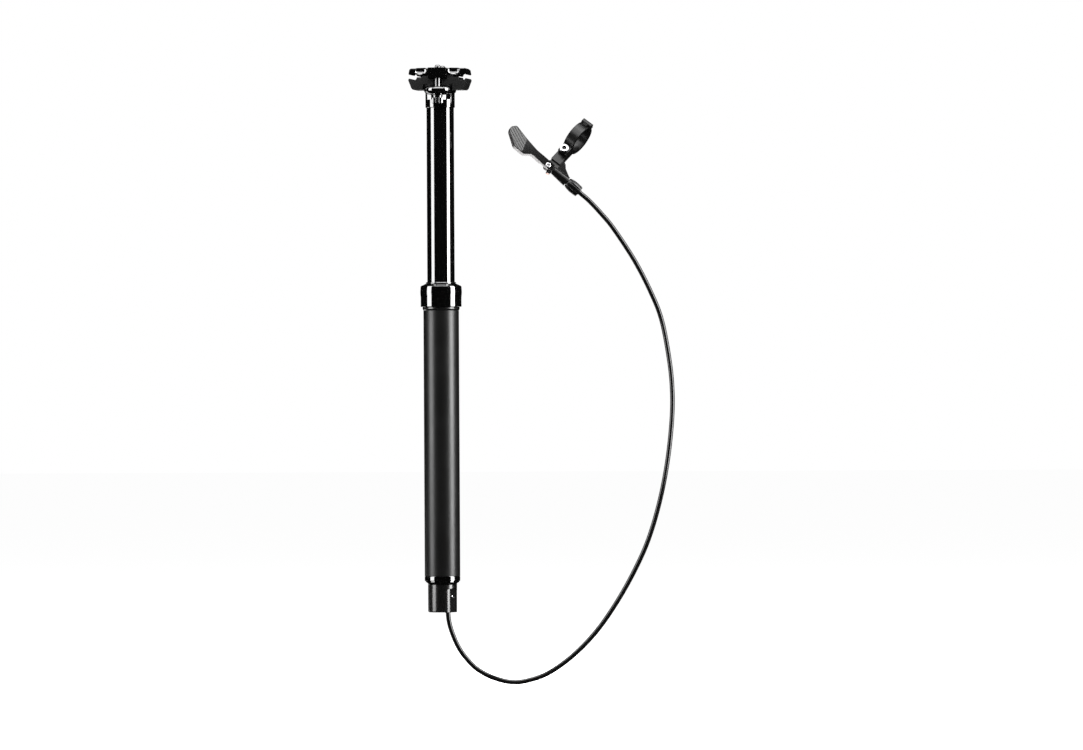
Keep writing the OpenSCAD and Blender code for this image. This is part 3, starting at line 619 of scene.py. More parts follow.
FINISHES = {
    Slot.MATTE: Finish("matte_black_anodised", grey(0.0015), (0.003, 0.003, 0.0029), (0.32, 0.37),
                       ior=1.46, grain=2600.0, bump=0.1, bump_mm=0.03),
    Slot.GLOSS: Finish("gloss_black_anodised", grey(0.0006), grey(0.0014), (0.03, 0.07),
                       ior=2.0, grain=900.0, bump=0.01, bump_mm=0.01),
    Slot.RUBBER: Finish("black_seal_rubber", grey(0.006), grey(0.012), (0.14, 0.2),
                        grain=1800.0, bump=0.1, bump_mm=0.03),
    Slot.BRASS: Finish("bearing_bronze", (0.52, 0.37, 0.16), (0.66, 0.5, 0.25), (0.25, 0.4),
                       metallic=1.0, grain=1500.0, bump=0.1, turning=1600.0),
    Slot.STEEL: Finish("bright_plated_steel", (0.55, 0.55, 0.56), (0.72, 0.72, 0.73), (0.14, 0.24),
                       metallic=1.0, grain=1800.0, turning=2400.0),
    Slot.ALLOY: Finish("turned_bare_alloy", (0.6, 0.6, 0.61), (0.74, 0.74, 0.75), (0.22, 0.34),
                       metallic=1.0, grain=1600.0, bump=0.08, turning=1800.0),
    Slot.DARK: Finish("blackened_steel", grey(0.09), grey(0.16), (0.16, 0.26),
                      metallic=1.0, grain=1800.0, turning=2400.0),
    Slot.COPPER: Finish("copper_plating", (0.62, 0.33, 0.25), (0.78, 0.48, 0.38), (0.2, 0.32),
                        metallic=1.0, grain=1500.0, bump=0.06),
    Slot.PLASTIC: Finish("black_cable_jacket", grey(0.0015), grey(0.003), (0.12, 0.17),
                         grain=2200.0, bump=0.12),
}
# Bright metal on the lever's faces that look down towards the floor: a painted reflection of the
# pale floor
PAINTED_SHEEN_EDGE = Finish("painted_sheen_edge", (0.36, 0.35, 0.35), (0.46, 0.45, 0.45), (0.32, 0.42),
                  metallic=1.0, grain=2000.0, bump=0.08)
PAD_FACE = Finish("worn_grip_hatching", grey(0.045), (0.058, 0.058, 0.057), (0.36, 0.44),
                  grain=1500.0, bump=0.1, bump_mm=0.03)
SATIN = Finish("satin_black_anodised", grey(0.0012), (0.0026, 0.0026, 0.0025), (0.23, 0.29),
               ior=1.36, grain=2200.0)
SHELL = Finish("satin_black_casting", grey(0.0015), (0.0035, 0.0035, 0.0034), (0.2, 0.25),
               ior=1.7, grain=2600.0, bump=0.16, bump_mm=0.03)
LIP = Finish("polished_seal_lip", grey(0.003), grey(0.006), (0.08, 0.12), ior=2.5, grain=1800.0)
WINGS = Finish("satin_black_forging", grey(0.0015), (0.0035, 0.0035, 0.0034), (0.32, 0.38),
               ior=1.6, grain=2200.0, bump=0.08)
ARM = Finish("smooth_black_lacquer", grey(0.001), grey(0.002), (0.1, 0.14), ior=1.45,
             grain=1800.0, bump=0.02, bump_mm=0.01)


@dataclass
class Dresser:
    """Gives each finished piece its material and its body, and hides the nodes that it stands for.
    """

    groups: NodeGroups
    made: dict[Finish, Material] = field(default_factory=dict)

    def material(self, finish: Finish) -> Material:
        """Return a finish's material, which is written when it is first asked for."""
        if finish not in self.made:
            self.made[finish] = finish.material(self.groups)
        return self.made[finish]

    def dress(self, piece: Object, body: Body, slot: Slot, *nodes: str, smooth: float = 30.0,
              finish: Finish | None = None) -> Object:
        """Finish one piece.

        Args:
            piece: The modelled piece.
            body: The body that it rides on.
            slot: The record's slot for its material.
            *nodes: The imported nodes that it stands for.
            smooth: Edges flatter than this many degrees are shaded smooth.
            finish: A finish other than the slot's own.

        Returns:
            The finished piece.
        """
        select_only(piece)
        bpy.ops.object.shade_smooth_by_angle(angle=math.radians(smooth))
        even = piece.modifiers.new("even_normals", "WEIGHTED_NORMAL")
        even.keep_sharp = True
        bpy.ops.object.modifier_apply(modifier=even.name)
        piece.data.materials.clear()
        piece.data.materials.append(self.material(finish or FINISHES[slot]))
        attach(piece, body.value)
        for node in nodes:
            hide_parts(node)
        LOG.info("%s has %d faces", piece.name, len(piece.data.polygons))
        return piece

    def change_faces(self, piece: Object, finish: Finish,
                     chosen: Callable[[bpy.types.MeshPolygon], bool]) -> None:
        """Give some faces of a dressed piece another finish.

        Args:
            piece: The piece.
            finish: The other finish.
            chosen: Says whether a face takes it.
        """
        piece.data.materials.append(self.material(finish))
        for face in piece.data.polygons:
            face.material_index = int(chosen(face))


@dataclass
class OuterPost:
    """The matte outer tube, its gloss collar and the wiper lip."""

    tube_r: float = 15.8
    bore_r: float = 13.8
    foot_z: float = -235.0
    foot_edge: float = 0.3
    neck_r: float = 16.2
    neck_top: float = 16.0
    flare_r: float = 16.5
    bead_low: float = 1.9
    keyways: int = 3
    keyway: Pair = (4.0, 15.0)
    keyway_top: float = -16.0
    collar_z: float = 5.1
    collar_bore: float = 16.25
    collar_stop: float = 17.2
    swell: Outline = (
        (18.15, 13.2), (18.24, 14.6), (18.42, 16.2), (18.5, 17.8), (18.46, 19.6), (18.34, 21.2),
        (18.22, 22.6))
    crown: Outline = ((18.1, 23.3), (17.98, 23.5), (17.75, 23.66), (13.3, 25.75), (13.1, 25.8))
    lip_r: float = 12.7
    seat_r: float = 14.97
    seat_z: Pair = (18.72, 23.2)
    wiper_foot: Outline = ((12.25, 18.74), (14.95, 18.74), (14.95, 23.1), (12.6, 23.1))
    wiper_lip: Outline = (
        (12.6, 25.9), (13.2, 25.92), (13.42, 26.25), (13.3, 26.7), (12.9, 27.0), (12.5, 27.1),
        (12.25, 26.9))
    steps: int = 128

    def build(self, dresser: Dresser) -> None:
        """Make the pieces of the outer post.

        Args:
            dresser: Finishes the pieces.
        """
        tube = dresser.dress(self._tube(), Body.OUTER, Slot.MATTE, "outer_tube")
        dresser.change_faces(tube, SHELL, lambda face: face.center.z > self.bead_low * MM
                             and face.normal.xy.dot(face.center.xy) > 0)
        dresser.dress(self._collar(), Body.OUTER, Slot.GLOSS, "seal_collar")
        wiper = turned("wiper_lip", [*self.wiper_foot, *bend(self.wiper_lip)], self.steps)
        dresser.dress(wiper, Body.OUTER, Slot.RUBBER, "wiper_seal", finish=LIP)

    def _tube(self) -> Object:
        """Turn the tube with its groove and bead and cut the keyways in its bore."""
        r, flare, foot, edge = self.tube_r, self.flare_r, self.foot_z, self.foot_edge
        groove = [(r, 1.35), (r - 0.16, 1.5), (r - 0.16, 1.8), (r + 0.02, 1.95)]
        bead = bend([(r + 0.1, 2.1), (r + 0.42, 2.6), (flare - 0.06, 3.3), (flare, 3.9),
                     (flare - 0.1, 4.5), (self.neck_r, self.collar_z - 0.03)])
        tube = turned("outer_post_tube", [
            (self.bore_r, foot), (r - edge, foot), (r, foot + edge), *groove, *bead,
            (self.neck_r, self.neck_top), (self.bore_r, self.neck_top)], self.steps)
        width, reach = self.keyway
        for i in range(self.keyways):
            slot = block((0, -width / 2, foot - 1), (reach, width / 2, self.keyway_top))
            cut(tube, settle(slot, turn("Z", 90 + 360 * i / self.keyways)))
        return tube

    def _collar(self) -> Object:
        """Turn the collar with its soft bulge and domed top."""
        low, bore, (seat_low, seat_high) = self.collar_z, self.collar_bore, self.seat_z
        side = bend([(17.75, low), (18.06, low + 0.14), (18.15, low + 0.5)], 3)
        return turned("seal_head_collar", [
            (bore, low), *side, *bend(self.swell), *self.crown, (self.lip_r, self.crown[-1][1]),
            (self.lip_r, seat_high), (self.seat_r, seat_high), (self.seat_r, seat_low),
            (self.lip_r, seat_low), (self.lip_r, self.collar_stop), (bore, self.collar_stop)],
            self.steps)


@dataclass
class Foot:
    """The gloss plug in the tube's foot and the actuator housing under it."""

    plug_ring: Outline = (
        (13.0, -242.4), (13.05, -241.9), (13.3, -241.3), (13.9, -240.8), (14.7, -240.45),
        (14.92, -240.1), (14.92, -239.6))
    plug_band: Outline = (
        (14.9, -239.3), (15.5, -239.2), (15.72, -239.06), (15.8, -238.75), (15.8, -235.4),
        (15.6, -235.02))
    plug_core: Outline = (
        (13.78, -235.02), (13.78, -223.6), (13.2, -223), (5.02, -223), (5.02, -236), (3.8, -236))
    plug_bore: float = 3.8
    top: float = -242.4
    bottom: float = -267.0
    radius: float = 12.9
    seam: float = 0.02
    cavity_r: float = 10.0
    floor_z: float = -256.8
    flat_at: float = 11.5
    flat_top: float = -245.4
    flat_half: float = 10.4
    flat_inside: float = 4.0
    flat_round: float = 9.0
    bow_steps: int = 16
    cable_at: float = 5.5
    ferrule_r: float = 2.72
    ferrule_top: float = -258.4
    wire_r: float = 0.85
    pin_at: Point = (1.9, 1.7, -251.5)
    pin_r: float = 1.47
    grub_r: float = 1.55
    grub_z: float = -253.0

    def build(self, dresser: Dresser) -> None:
        """Make the plug, the housing and its grub screw.

        Args:
            dresser: Finishes the pieces.
        """
        plug = turned("base_plug_band", [
            (self.plug_bore, self.top), *bend(self.plug_ring), *self.plug_band, *self.plug_core],
            steps=128)
        dresser.dress(plug, Body.OUTER, Slot.GLOSS, "base_plug")
        dresser.dress(self._housing(), Body.OUTER, Slot.GLOSS, "actuator_housing", finish=SHELL)
        dresser.dress(self._grub(), Body.OUTER, Slot.STEEL, "actuator_grub_screw")

    def _housing(self) -> Object:
        """Turn the housing, then cut its arched flat with soft edges, its cavity and its bores."""
        low, high, r = self.bottom, self.top - self.seam, self.radius
        edge = bend([(11.9, low), (12.5, low + 0.14), (12.82, low + 0.5), (r, low + 1.1)])
        shell = turned("actuator_shell", [
            (0, low), *edge, (r, high), (self.cavity_r, high), (self.cavity_r, self.floor_z),
            (0, self.floor_z)], steps=160, closed=False)
        cut(shell, self._flat_tool(),
            drum(self.ferrule_r, 12, (self.cable_at, 0, self.ferrule_top - 6)),
            drum(self.wire_r, 10, (self.cable_at, 0, self.ferrule_top)),
            drum(self.pin_r, 26, self.pin_at, Axis.Y),
            drum(self.grub_r, r, (r, 0, self.grub_z), Axis.X, 48))
        round_edges(shell, 0.25, 2, 40.0)
        return settle(shell, CAM)

    def _flat_tool(self) -> Object:
        """Make what is milled away: an arch over the flat, less the section with soft edges."""
        wide, high, edge = self.flat_half, self.flat_top, self.radius
        arch = bend([(wide, self.bottom - 2), (wide, high - 6), (9.0, high - 2.6),
                     (5.6, high - 0.7), (0, high)], 5)
        mirrored = [(-x, h) for x, h in reversed(arch[:-1])]
        tool = plate("flat_tool", arch + mirrored, self.flat_inside, edge + 3)
        settle(tool, turn("Z", 90) @ turn("X", 90))
        r = self.flat_round
        deep, out = self.flat_at - r, edge - r
        aside = math.sqrt(out ** 2 - deep ** 2)
        step = math.atan2(aside, deep) / self.bow_steps
        bow = [(deep + r * math.cos(step * i), aside + r * math.sin(step * i))
               for i in range(self.bow_steps + 1)]
        half = [*bow, (edge + 1, edge + 2), (0, edge + 2)]
        section = [*half, *((w, -u) for w, u in reversed(half))]
        return cut(tool, plate("section_tool", section, self.bottom - 4, self.top + 4))

    def _grub(self) -> Object:
        """Turn the grub screw with a domed end and cut its socket."""
        end = bend([(1.48, -0.5), (1.4, -0.16), (1.15, 0.12), (0.8, 0.24)], 3)
        screw = turned("actuator_grub", [
            (0, -3), (1.3, -3), (1.48, -2.8), *end, (0, 0.3)], 48, False)
        cut(screw, drum(0.78, 2.4, (0, 0, 0), Axis.Z, 6))
        settle(screw, shift(self.flat_at - 0.3, 0, self.grub_z) @ turn("Y", 90))
        return settle(screw, CAM)


@dataclass
class PostHead:
    """The forged head of the inner post with its bolts."""

    tilt_z: float = 213.3
    stud: Pair = (4.02, 169.0)
    spigot: Pair = (10.48, 156.0)
    spigot_edge: float = 0.3
    shoulder_z: float = 182.4
    shoulder_edge: float = 0.45
    radius: float = 13.05
    top_z: float = 199.0
    belly_r: float = 20.1
    bowl_gap: float = 0.2
    bowl_reach: float = 26.0
    bowl_lean: float = 8.0
    ear_y: float = 11.0
    ear: Outline = (
        (0, 192.9), (5.0, 193.0), (8.2, 193.6), (10.6, 194.6), (11.9, 195.7), (12.7, 196.9),
        (12.95, 197.9), (12.9, 198.9), (12.6, 199.8), (11.9, 200.5), (11.0, 200.9), (10.0, 201))
    boss_y: float = 16.4
    boss_r: float = 5.4
    boss_z: Pair = (193.2, 195.0)
    boss_edge: float = 0.7
    hollow_turn: float = 35.0
    hollow_r: float = 25.0
    hollow_at: float = 11.8
    hollow_low: float = 189.6
    hollow_high: float = 209.6
    bolt_y: float = 16.5
    bolt_r: float = 2.5
    bolt_lean: float = 4.0
    bolt_end: float = 7.0
    bolt_gap: float = 0.4
    recess_top: float = 2.1
    head_at: float = -22.6
    head_r: float = 5.0
    head_h: float = 5.0
    teeth: int = 13
    tooth: float = 0.5
    socket_r: float = 2.6565

    def build(self, dresser: Dresser) -> None:
        """Make the head and the bolts.

        Args:
            dresser: Finishes the pieces.
        """
        dresser.dress(self._forging(), Body.INNER, Slot.GLOSS, "post_head")
        bolts = fuse(self._bolt(-1), self._bolt(1))
        dresser.dress(bolts, Body.INNER, Slot.DARK, "clamp_bolts")

    def _bolt_place(self, side: int) -> Matrix:
        """Return the frame of the front or the rear bolt, whose height is 0 at the tilt axis."""
        return shift(0, side * self.bolt_y, self.tilt_z) @ turn("X", side * self.bolt_lean)

    def _forging(self) -> Object:
        """Turn the head and its spigot, cut the bowl and the hollows, add the ears and drill it."""
        (stud_r, stud_z), (r, low), edge = self.stud, self.spigot, self.spigot_edge
        high = self.shoulder_z
        head = turned("post_head_forging", [
            (0, stud_z), (stud_r, stud_z), (stud_r, low), (10.2, low), (r, low + edge), (r, high),
            (12.6, high), (self.radius, high + self.shoulder_edge), (self.radius, self.top_z),
            (0, self.top_z)], closed=False)
        cut(head, self._bowl())
        deep = self.hollow_high - self.hollow_low
        away = (0, self.hollow_at + self.hollow_r, self.hollow_low + deep / 2)
        aside = self.hollow_turn
        for degrees in (aside, -aside, 180 - aside, 180 + aside):
            hollow = drum(self.hollow_r, deep, away, sides=160)
            cut(head, settle(hollow, turn("Z", degrees)))
        for side in (-1, 1):
            fuse(head, cut(self._ear(side), self._bowl()))
        for side in (-1, 1):
            place = self._bolt_place(side)
            hole = drum(self.bolt_r + self.bolt_gap, 40, (0, 0, -20))
            middle = self.head_at + self.recess_top - 6
            recess = drum(self.head_r + self.bolt_gap, 12, (0, 0, middle))
            cut(head, settle(hole, place), settle(recess, place))
        return round_edges(head, 0.4)

    def _bowl(self) -> Object:
        """Make the space that the cradle rocks in, which widens to the front and to the rear."""
        bowl = drum(self.belly_r, 80, (0, 0, self.tilt_z), Axis.X, 128)
        r, reach = self.belly_r + self.bowl_gap, self.bowl_reach
        wide = r + reach * math.tan(math.radians(self.bowl_lean))
        spread = turned("spread_tool", [
            (0, -reach), (wide, -reach), (r, 0), (wide, reach), (0, reach)], closed=False)
        return combine(bowl, settle(spread, shift(0, 0, self.tilt_z) @ turn("X", 90)), Mix.KEEP)

    def _ear(self, side: int) -> Object:
        """Turn a rounded knob and the bolt's boss under it.

        Args:
            side: -1 for the front ear, 1 for the rear one.

        Returns:
            The ear in its place.
        """
        first, *rest = self.ear
        knob = turned("ear_tool", [first, *bend(rest, 3), (0, rest[-1][1])], closed=False)
        r, edge, (low, high) = self.boss_r, self.boss_edge, self.boss_z
        boss = turned("boss_tool", [
            (0, low), (r - edge, low), (r, low + edge), (r, high), (0, high)], closed=False)
        settle(knob, shift(0, side * self.ear_y, 0))
        return fuse(knob, settle(boss, shift(0, side * self.boss_y, 0)))

    def _bolt(self, side: int) -> Object:
        """Make a bolt with a lobed head, a domed end and a hexagon socket.

        Args:
            side: -1 for the front bolt, 1 for the rear one.

        Returns:
            The bolt in its place.
        """
        low, high, wide = self.head_at - self.head_h, self.head_at, self.head_r
        rim = []
        for i in range(2 * self.teeth):
            a = math.pi * i / self.teeth
            lobe = wide if i % 2 else wide - self.tooth
            rim.append((math.cos(a) * lobe, math.sin(a) * lobe))
        bolt = plate("clamp_bolt_pair", rim, low, high)
        chamfer = turned("cone_tool", [
            (0, low - 0.02), (wide - 0.7, low - 0.02), (wide + 0.02, low + 0.7),
            (wide + 0.02, high - 0.5), (wide - 0.4, high + 0.02), (0, high + 0.02)], closed=False)
        combine(bolt, chamfer, Mix.KEEP)
        r, end = self.bolt_r, self.bolt_end
        dome = bend([(r, end - 1.6), (r - 0.25, end - 0.75), (r - 0.95, end - 0.2), (0, end)])
        fuse(bolt, turned("shank_tool", [(0, high - 1), (r, high - 1), *dome], 48, False))
        cut(bolt, drum(self.socket_r, 6, (0, 0, low), Axis.Z, 6))
        return settle(bolt, self._bolt_place(side))


@dataclass
class SaddleClamp:
    """The cradle and the cap that hold the saddle rails."""

    half_len: float = 17.0
    cap_top: float = 217.8
    scoop_at: Point = (14.8, 19.0, 215.2)
    scoop_size: Point = (6.2, 4.2, 4.6)
    fill_x: Pair = (8.2, 15.4)
    fill_y: float = 13.0
    fill_z: Pair = (208.6, 211.7)
    cradle_edge: float = 0.5
    cap_edge: float = 0.8
    chamfer: float = 0.9
    chamfer_x: Pair = (7.6, 40.0)

    def build(self, dresser: Dresser) -> None:
        """Make the cradle and the cap."""
        dresser.dress(self._cradle(), Body.SADDLE, Slot.GLOSS, "lower_cradle", finish=WINGS)
        dresser.dress(self._cap(), Body.SADDLE, Slot.GLOSS, "upper_clamp")

    def _cradle(self) -> Object:
        """Fill the slit under the cap's arches and round the edges of the cradle's solid."""
        cradle = cad_copy("rail_cradle", "lower_cradle")
        low, high = self.fill_z
        for side in (-1, 1):
            near, far = sorted(side * x for x in self.fill_x)
            fuse(cradle, block((near, -self.fill_y, low), (far, self.fill_y, high)))
        return round_edges(cradle, self.cradle_edge)

    def _cap(self) -> Object:
        """Scoop the cap's ends beside the bolt bosses, chamfer its top and round its edges."""
        cap = cad_copy("rail_cap", "upper_clamp")
        corners = [(side, end) for side in (-1, 1) for end in (-1, 1)]
        x, y, z = self.scoop_at
        for side, end in corners:
            bpy.ops.mesh.primitive_uv_sphere_add(
                segments=48, ring_count=24, radius=MM, location=Vector((side * x, end * y, z)) * MM)
            ball = named("ball_tool")
            ball.scale = self.scoop_size
            bpy.ops.object.transform_apply()
            cut(cap, ball)
        reach = self.chamfer / math.sqrt(2)
        for side, end in corners:
            near, far = sorted(side * x for x in self.chamfer_x)
            strip = block((near, -reach, -reach), (far, reach, reach))
            cut(cap, settle(strip, shift(0, end * self.half_len, self.cap_top) @ turn("X", 45)))
        return round_edges(cap, self.cap_edge)


@dataclass
class ThumbLever:
    """The thumb lever with its hatched pad, its pivot bolt and the cable anchor."""

    outline: Outline = (
        (-46.3, -1), (-47.9, 3), (-44.5, 7.5), (-29.8, 4.9), (-16.4, 3.5), (-3.7, 4.2), (4.8, 3.6),
        (4.8, -2.4), (-6, -2.5), (-17.5, -2.8), (-22.9, -8.1), (-33.6, -8.7))
    pad: Outline = (
        (-45.7, -0.8), (-47.2, 3), (-44.1, 6.8), (-29.6, 4.3), (-25.2, -7.5), (-33.3, -8.0))
    top: float = 2.9
    low: float = -3.1
    thin_x: Pair = (-7.0, 13.0)
    thin_low: float = -1.0
    # Faces that look down further than this take the painted reflection of the floor
    painted_sheen_from: float = 0.45
    bush_r: float = 2.12
    bolt_r: float = 2.4
    bolt_high: float = 0.9
    bolt_gap: float = 0.12
    shank_r: float = 1.5
    shank_low: float = -5.0
    anchor: Pair = (4.2, -2.4)
    anchor_r: float = 1.9
    anchor_bore: float = 0.82
    anchor_edge: float = 0.3
    ribs: int = 14
    ribs_at: Pair = (-36.0, -1.0)
    ribs_half: float = 20.0
    rib_half_len: float = 30.0
    rib_step: float = 2.2
    rib_turn: float = 20.0
    rib_high: float = 0.42
    rib_flat: Pair = (0.31, 0.69)

    def build(self, dresser: Dresser) -> None:
        """Make the lever's pieces.

        Args:
            dresser: Finishes the pieces.
        """
        arm = dresser.dress(self._arm(), Body.LEVER, Slot.MATTE, "thumb_lever", finish=ARM)
        under = REMOTE.to_3x3() @ Vector((0.0, -1.0, 0.0))
        # Faces that look down towards the floor get bright metal, a painted reflection of the pale
        # floor
        dresser.change_faces(arm, PAINTED_SHEEN_EDGE, lambda face: face.normal.dot(under) > self.painted_sheen_from)
        dresser.dress(self._hatching(), Body.LEVER, Slot.MATTE, finish=PAD_FACE)
        dresser.dress(self._bolt(), Body.OUTER, Slot.STEEL, "lever_pivot_bolt")
        dresser.dress(self._anchor(), Body.LEVER, Slot.COPPER, "cable_anchor")

    def _arm(self) -> Object:
        """Extrude the lever, thin its pivot end, add the anchor's ear and round it."""
        arm = plate("lever_arm", rounded(self.outline, 1.6), self.low, self.top)
        start, end = self.thin_x
        u, v = self.anchor
        cut(arm, block((start, -10, self.low - 1), (end, 10, self.thin_low)))
        fuse(arm, drum(self.anchor_r + 0.3, 1.6, (u, v, self.thin_low + 0.8)))
        cut(arm, drum(self.bush_r, 20, (0, 0, 0)), drum(self.anchor_bore, 20, (u, v, 0), sides=32))
        round_edges(arm, 0.35, 3, 40.0)
        return settle(arm, REMOTE)

    def _hatching(self) -> Object:
        """Cut rows of ridges to the pad's shape."""
        top, side = self.top, self.ribs_half
        pad = plate("thumb_pad_hatching", rounded(self.pad, 1.2), top - 0.3, top + 1)
        comb = [(-side, top - 1)]
        for i in range(self.ribs):
            x = (i - self.ribs / 2) * self.rib_step
            comb += [(x, top - 0.02), *((x + self.rib_step * share, top + self.rib_high)
                                        for share in self.rib_flat)]
        comb += [(side, top - 0.02), (side, top - 1)]
        ridges = plate("ridge_tool", comb, -self.rib_half_len, self.rib_half_len)
        settle(ridges, shift(*self.ribs_at, 0) @ turn("Z", 90 - self.rib_turn) @ turn("X", 90))
        combine(pad, ridges, Mix.KEEP)
        return settle(pad, REMOTE)

    def _bolt(self) -> Object:
        """Turn the pivot bolt and cut its socket."""
        r, low, high = self.bolt_r, self.top + self.bolt_gap, self.top + self.bolt_high
        shank, end = self.shank_r, self.shank_low
        head = bend([(r, low), (r, high - 0.35), (r - 0.12, high - 0.1), (r - 0.4, high)], 3)
        bolt = turned("lever_pivot_screw", [
            (0, end), (shank - 0.2, end), (shank, end + 0.2), (shank, low), *head, (0, high)],
            64, False)
        cut(bolt, drum(1.2, 3, (0, 0, self.top + 1.7), Axis.Z, 6))
        round_edges(bolt, 0.08, 2, 40.0)
        return settle(bolt, REMOTE)

    def _anchor(self) -> Object:
        """Turn the copper barrel that holds the wire."""
        low, high = self.shank_low, self.thin_low - 0.02
        r, bore, edge = self.anchor_r, self.anchor_bore, self.anchor_edge
        barrel = turned("wire_anchor_barrel", [
            (bore, low), (r - edge, low), (r, low + edge), (r, high - edge), (r - edge, high),
            (bore, high)], 64)
        return settle(barrel, REMOTE @ shift(*self.anchor, 0))


@dataclass
class RemoteBody:
    """The remote's bracket, its hinged clamp band and the clamp screw."""

    edge: float = 0.4
    screw_at: float = -18.2
    ear_top: float = 4.42
    shank_r: float = 1.8
    shank_low: float = -6.0
    screw_head_r: float = 3.7
    screw_head_h: float = 3.6
    socket_r: float = 2.35
    socket_deep: float = 2.2
    # Depth below the head's top where the painted shade in the socket stops
    socket_rim: float = 0.2

    def build(self, dresser: Dresser) -> None:
        """Make the bracket, the band and the screw, whose socket is painted black as painted shade.

        Args:
            dresser: Finishes the pieces.
        """
        for name, node in (("remote_body", "remote_bracket"), ("hinged_band", "clamp_band")):
            piece = round_edges(cad_copy(name, node), self.edge, 2)
            dresser.dress(piece, Body.OUTER, Slot.MATTE, node, finish=SATIN)
        screw = dresser.dress(self._screw(), Body.OUTER, Slot.STEEL, "clamp_screw")
        # The socket's faces get the black matte finish: painted shade in the recess
        dresser.change_faces(screw, FINISHES[Slot.MATTE], self._in_shaded_socket)

    def _screw_place(self) -> Matrix:
        """Return the frame of the clamp screw, whose head is up."""
        return RING @ shift(self.screw_at, 0, 0) @ turn("X", -90)

    def _in_shaded_socket(self, face: bpy.types.MeshPolygon) -> bool:
        """Say whether a face of the screw is in its socket, which is painted black as shade."""
        at = self._screw_place().inverted() @ face.center / MM
        rim = self.ear_top + self.screw_head_h - self.socket_rim
        return self.ear_top < at.z < rim and at.xy.length < self.socket_r

    def _screw(self) -> Object:
        """Turn the clamp screw and cut its hexagon socket."""
        low, r, shank, end = self.ear_top, self.screw_head_r, self.shank_r, self.shank_low
        high = low + self.screw_head_h
        head = bend([(r, low), (r, high - 0.6), (r - 0.2, high - 0.15), (r - 0.7, high)], 3)
        screw = turned("clamp_cap_screw", [
            (0, end), (shank - 0.2, end), (shank, end + 0.3), (shank, low), *head, (0, high)],
            64, False)
        cut(screw, drum(self.socket_r, 2 * self.socket_deep, (0, 0, high), Axis.Z, 6))
        round_edges(screw, 0.12, 2, 40.0)
        return settle(screw, self._screw_place())


@dataclass
class BarrelAdjuster:
    """The fluted barrel that takes up the cable's slack."""

    radius: float = 5.5
    start: float = 0.5
    end: float = 14.4
    stop: float = 6.0
    stem_r: float = 2.7
    stem_len: float = 8.0
    bore_r: float = 2.75
    wire_r: float = 0.85
    flutes: int = 10
    flute_r: float = 1.2
    flute_out: float = 0.55
    flute_start: float = 1.6

    def build(self, dresser: Dresser) -> None:
        """Turn the barrel, cut its flutes and its bore, and round it.

        Args:
            dresser: Finishes the pieces.
        """
        r, a, b = self.radius, self.start, self.end
        long = b - a
        skin = bend([(r - 2, a), (r - 1.3, a + 0.5), (r - 0.75, a + long * 0.14),
                     (r - 0.15, a + long * 0.34), (r, a + long * 0.55), (r - 0.15, a + long * 0.78),
                     (r - 0.4, b - 1), (r - 0.55, b - 0.4), (r - 0.9, b)])
        barrel = turned("adjuster_barrel", [
            (self.wire_r, -self.stem_len), (self.stem_r, -self.stem_len), (self.stem_r, a), *skin,
            (self.bore_r, b), (self.bore_r, self.stop), (self.wire_r, self.stop)])
        away = (r + self.flute_out, 0, a + self.flute_start + long / 2)
        for i in range(self.flutes):
            tool = drum(self.flute_r, long, away, sides=24)
            cut(barrel, settle(tool, turn("Z", 360 * i / self.flutes)))
        round_edges(barrel, 0.16, 2, 36.0)
        settle(barrel, BARREL)
        dresser.dress(barrel, Body.ADJUSTER, Slot.MATTE, "barrel_adjuster", finish=SATIN)


@dataclass
class ReleaseSpring:
    """The coil that presses the release pin down, which shortens as the pin lifts."""

    radius: float = 2.95
    wire: float = 0.7
    low: float = -244.75
    high: float = -236.45
    turns: float = 6.0
    steps: int = 40
    close: float = 0.75
    anchor_z: float = -0.236
    keep: float = 0.868

    def build(self, dresser: Dresser) -> None:
        """Wind the coil and turn it to a mesh of its own.

        Args:
            dresser: Finishes the piece.
        """
        count = int(self.turns * self.steps)
        points = [self._point(self.turns * i / count) for i in range(count + 1)]
        select_only(wire("release_coil", points, self.wire, 4))
        bpy.ops.object.convert(target="MESH")
        coil = bpy.context.object
        dresser.dress(coil, Body.OUTER, Slot.STEEL, "release_spring", smooth=60.0)
        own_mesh(coil)

    def _point(self, coils: float) -> Vector:
        """Find a point of the wire, whose first and last turns lie close.

        Args:
            coils: Turns from its lower end.

        Returns:
            The middle of the wire, in metres.
        """
        a = math.tau * coils
        ends = min(coils, 1.0) + max(0.0, coils - self.turns + 1.0)
        middle = min(1.0, max(0.0, (coils - 1.0) / (self.turns - 2.0)))
        z = self.low + self.close * ends + (self.high - self.low - 2 * self.close) * middle
        return Vector((self.radius * math.cos(a), self.radius * math.sin(a), z)) * MM


@dataclass
class CableHousing:
    """The flexible housing from the actuator to the barrel adjuster."""

    diameter: float = 4.2
    steps: int = 8
    route: tuple[Point, ...] = (
        (4.8, -3.4, -259.6), (4.8, -3.4, -268), (6, -3.4, -277), (9.1, -3.4, -287),
        (14, -3.4, -298), (20.9, -3.3, -308), (31, -3.2, -318), (45, -3, -325.5),
        (62, -2.6, -329.5), (78, -2.2, -327.5), (95, -1.8, -321), (116, -1.4, -306),
        (137, -1, -284.5), (156, -0.6, -257.5), (172, -0.2, -229), (184, 0.2, -202),
        (194, 0.6, -168.5), (201, 1, -133), (205, 1.4, -97), (205.5, 1.7, -70),
        (203, 2, -43), (196.5, 2.4, -8), (187, 2.7, 17), (172.5, 3, 45.5),
        (154, 3.3, 74), (143, 3.6, 87.5), (132.5, 3.7, 98.8), (123.8, 3.5, 106.4),
        (119.2, 3.4, 110.4))

    def build(self, dresser: Dresser) -> None:
        """Make the housing as one cord.

        Args:
            dresser: Gives its finish.
        """
        path = curve_through([HANG @ (Vector(p) * MM) for p in self.route], self.steps)
        cable = wire("cable_jacket", path, self.diameter, 6)
        cable.data.materials.append(dresser.material(FINISHES[Slot.PLASTIC]))
        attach(cable, Body.OUTER.value)
        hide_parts("cable_housing")


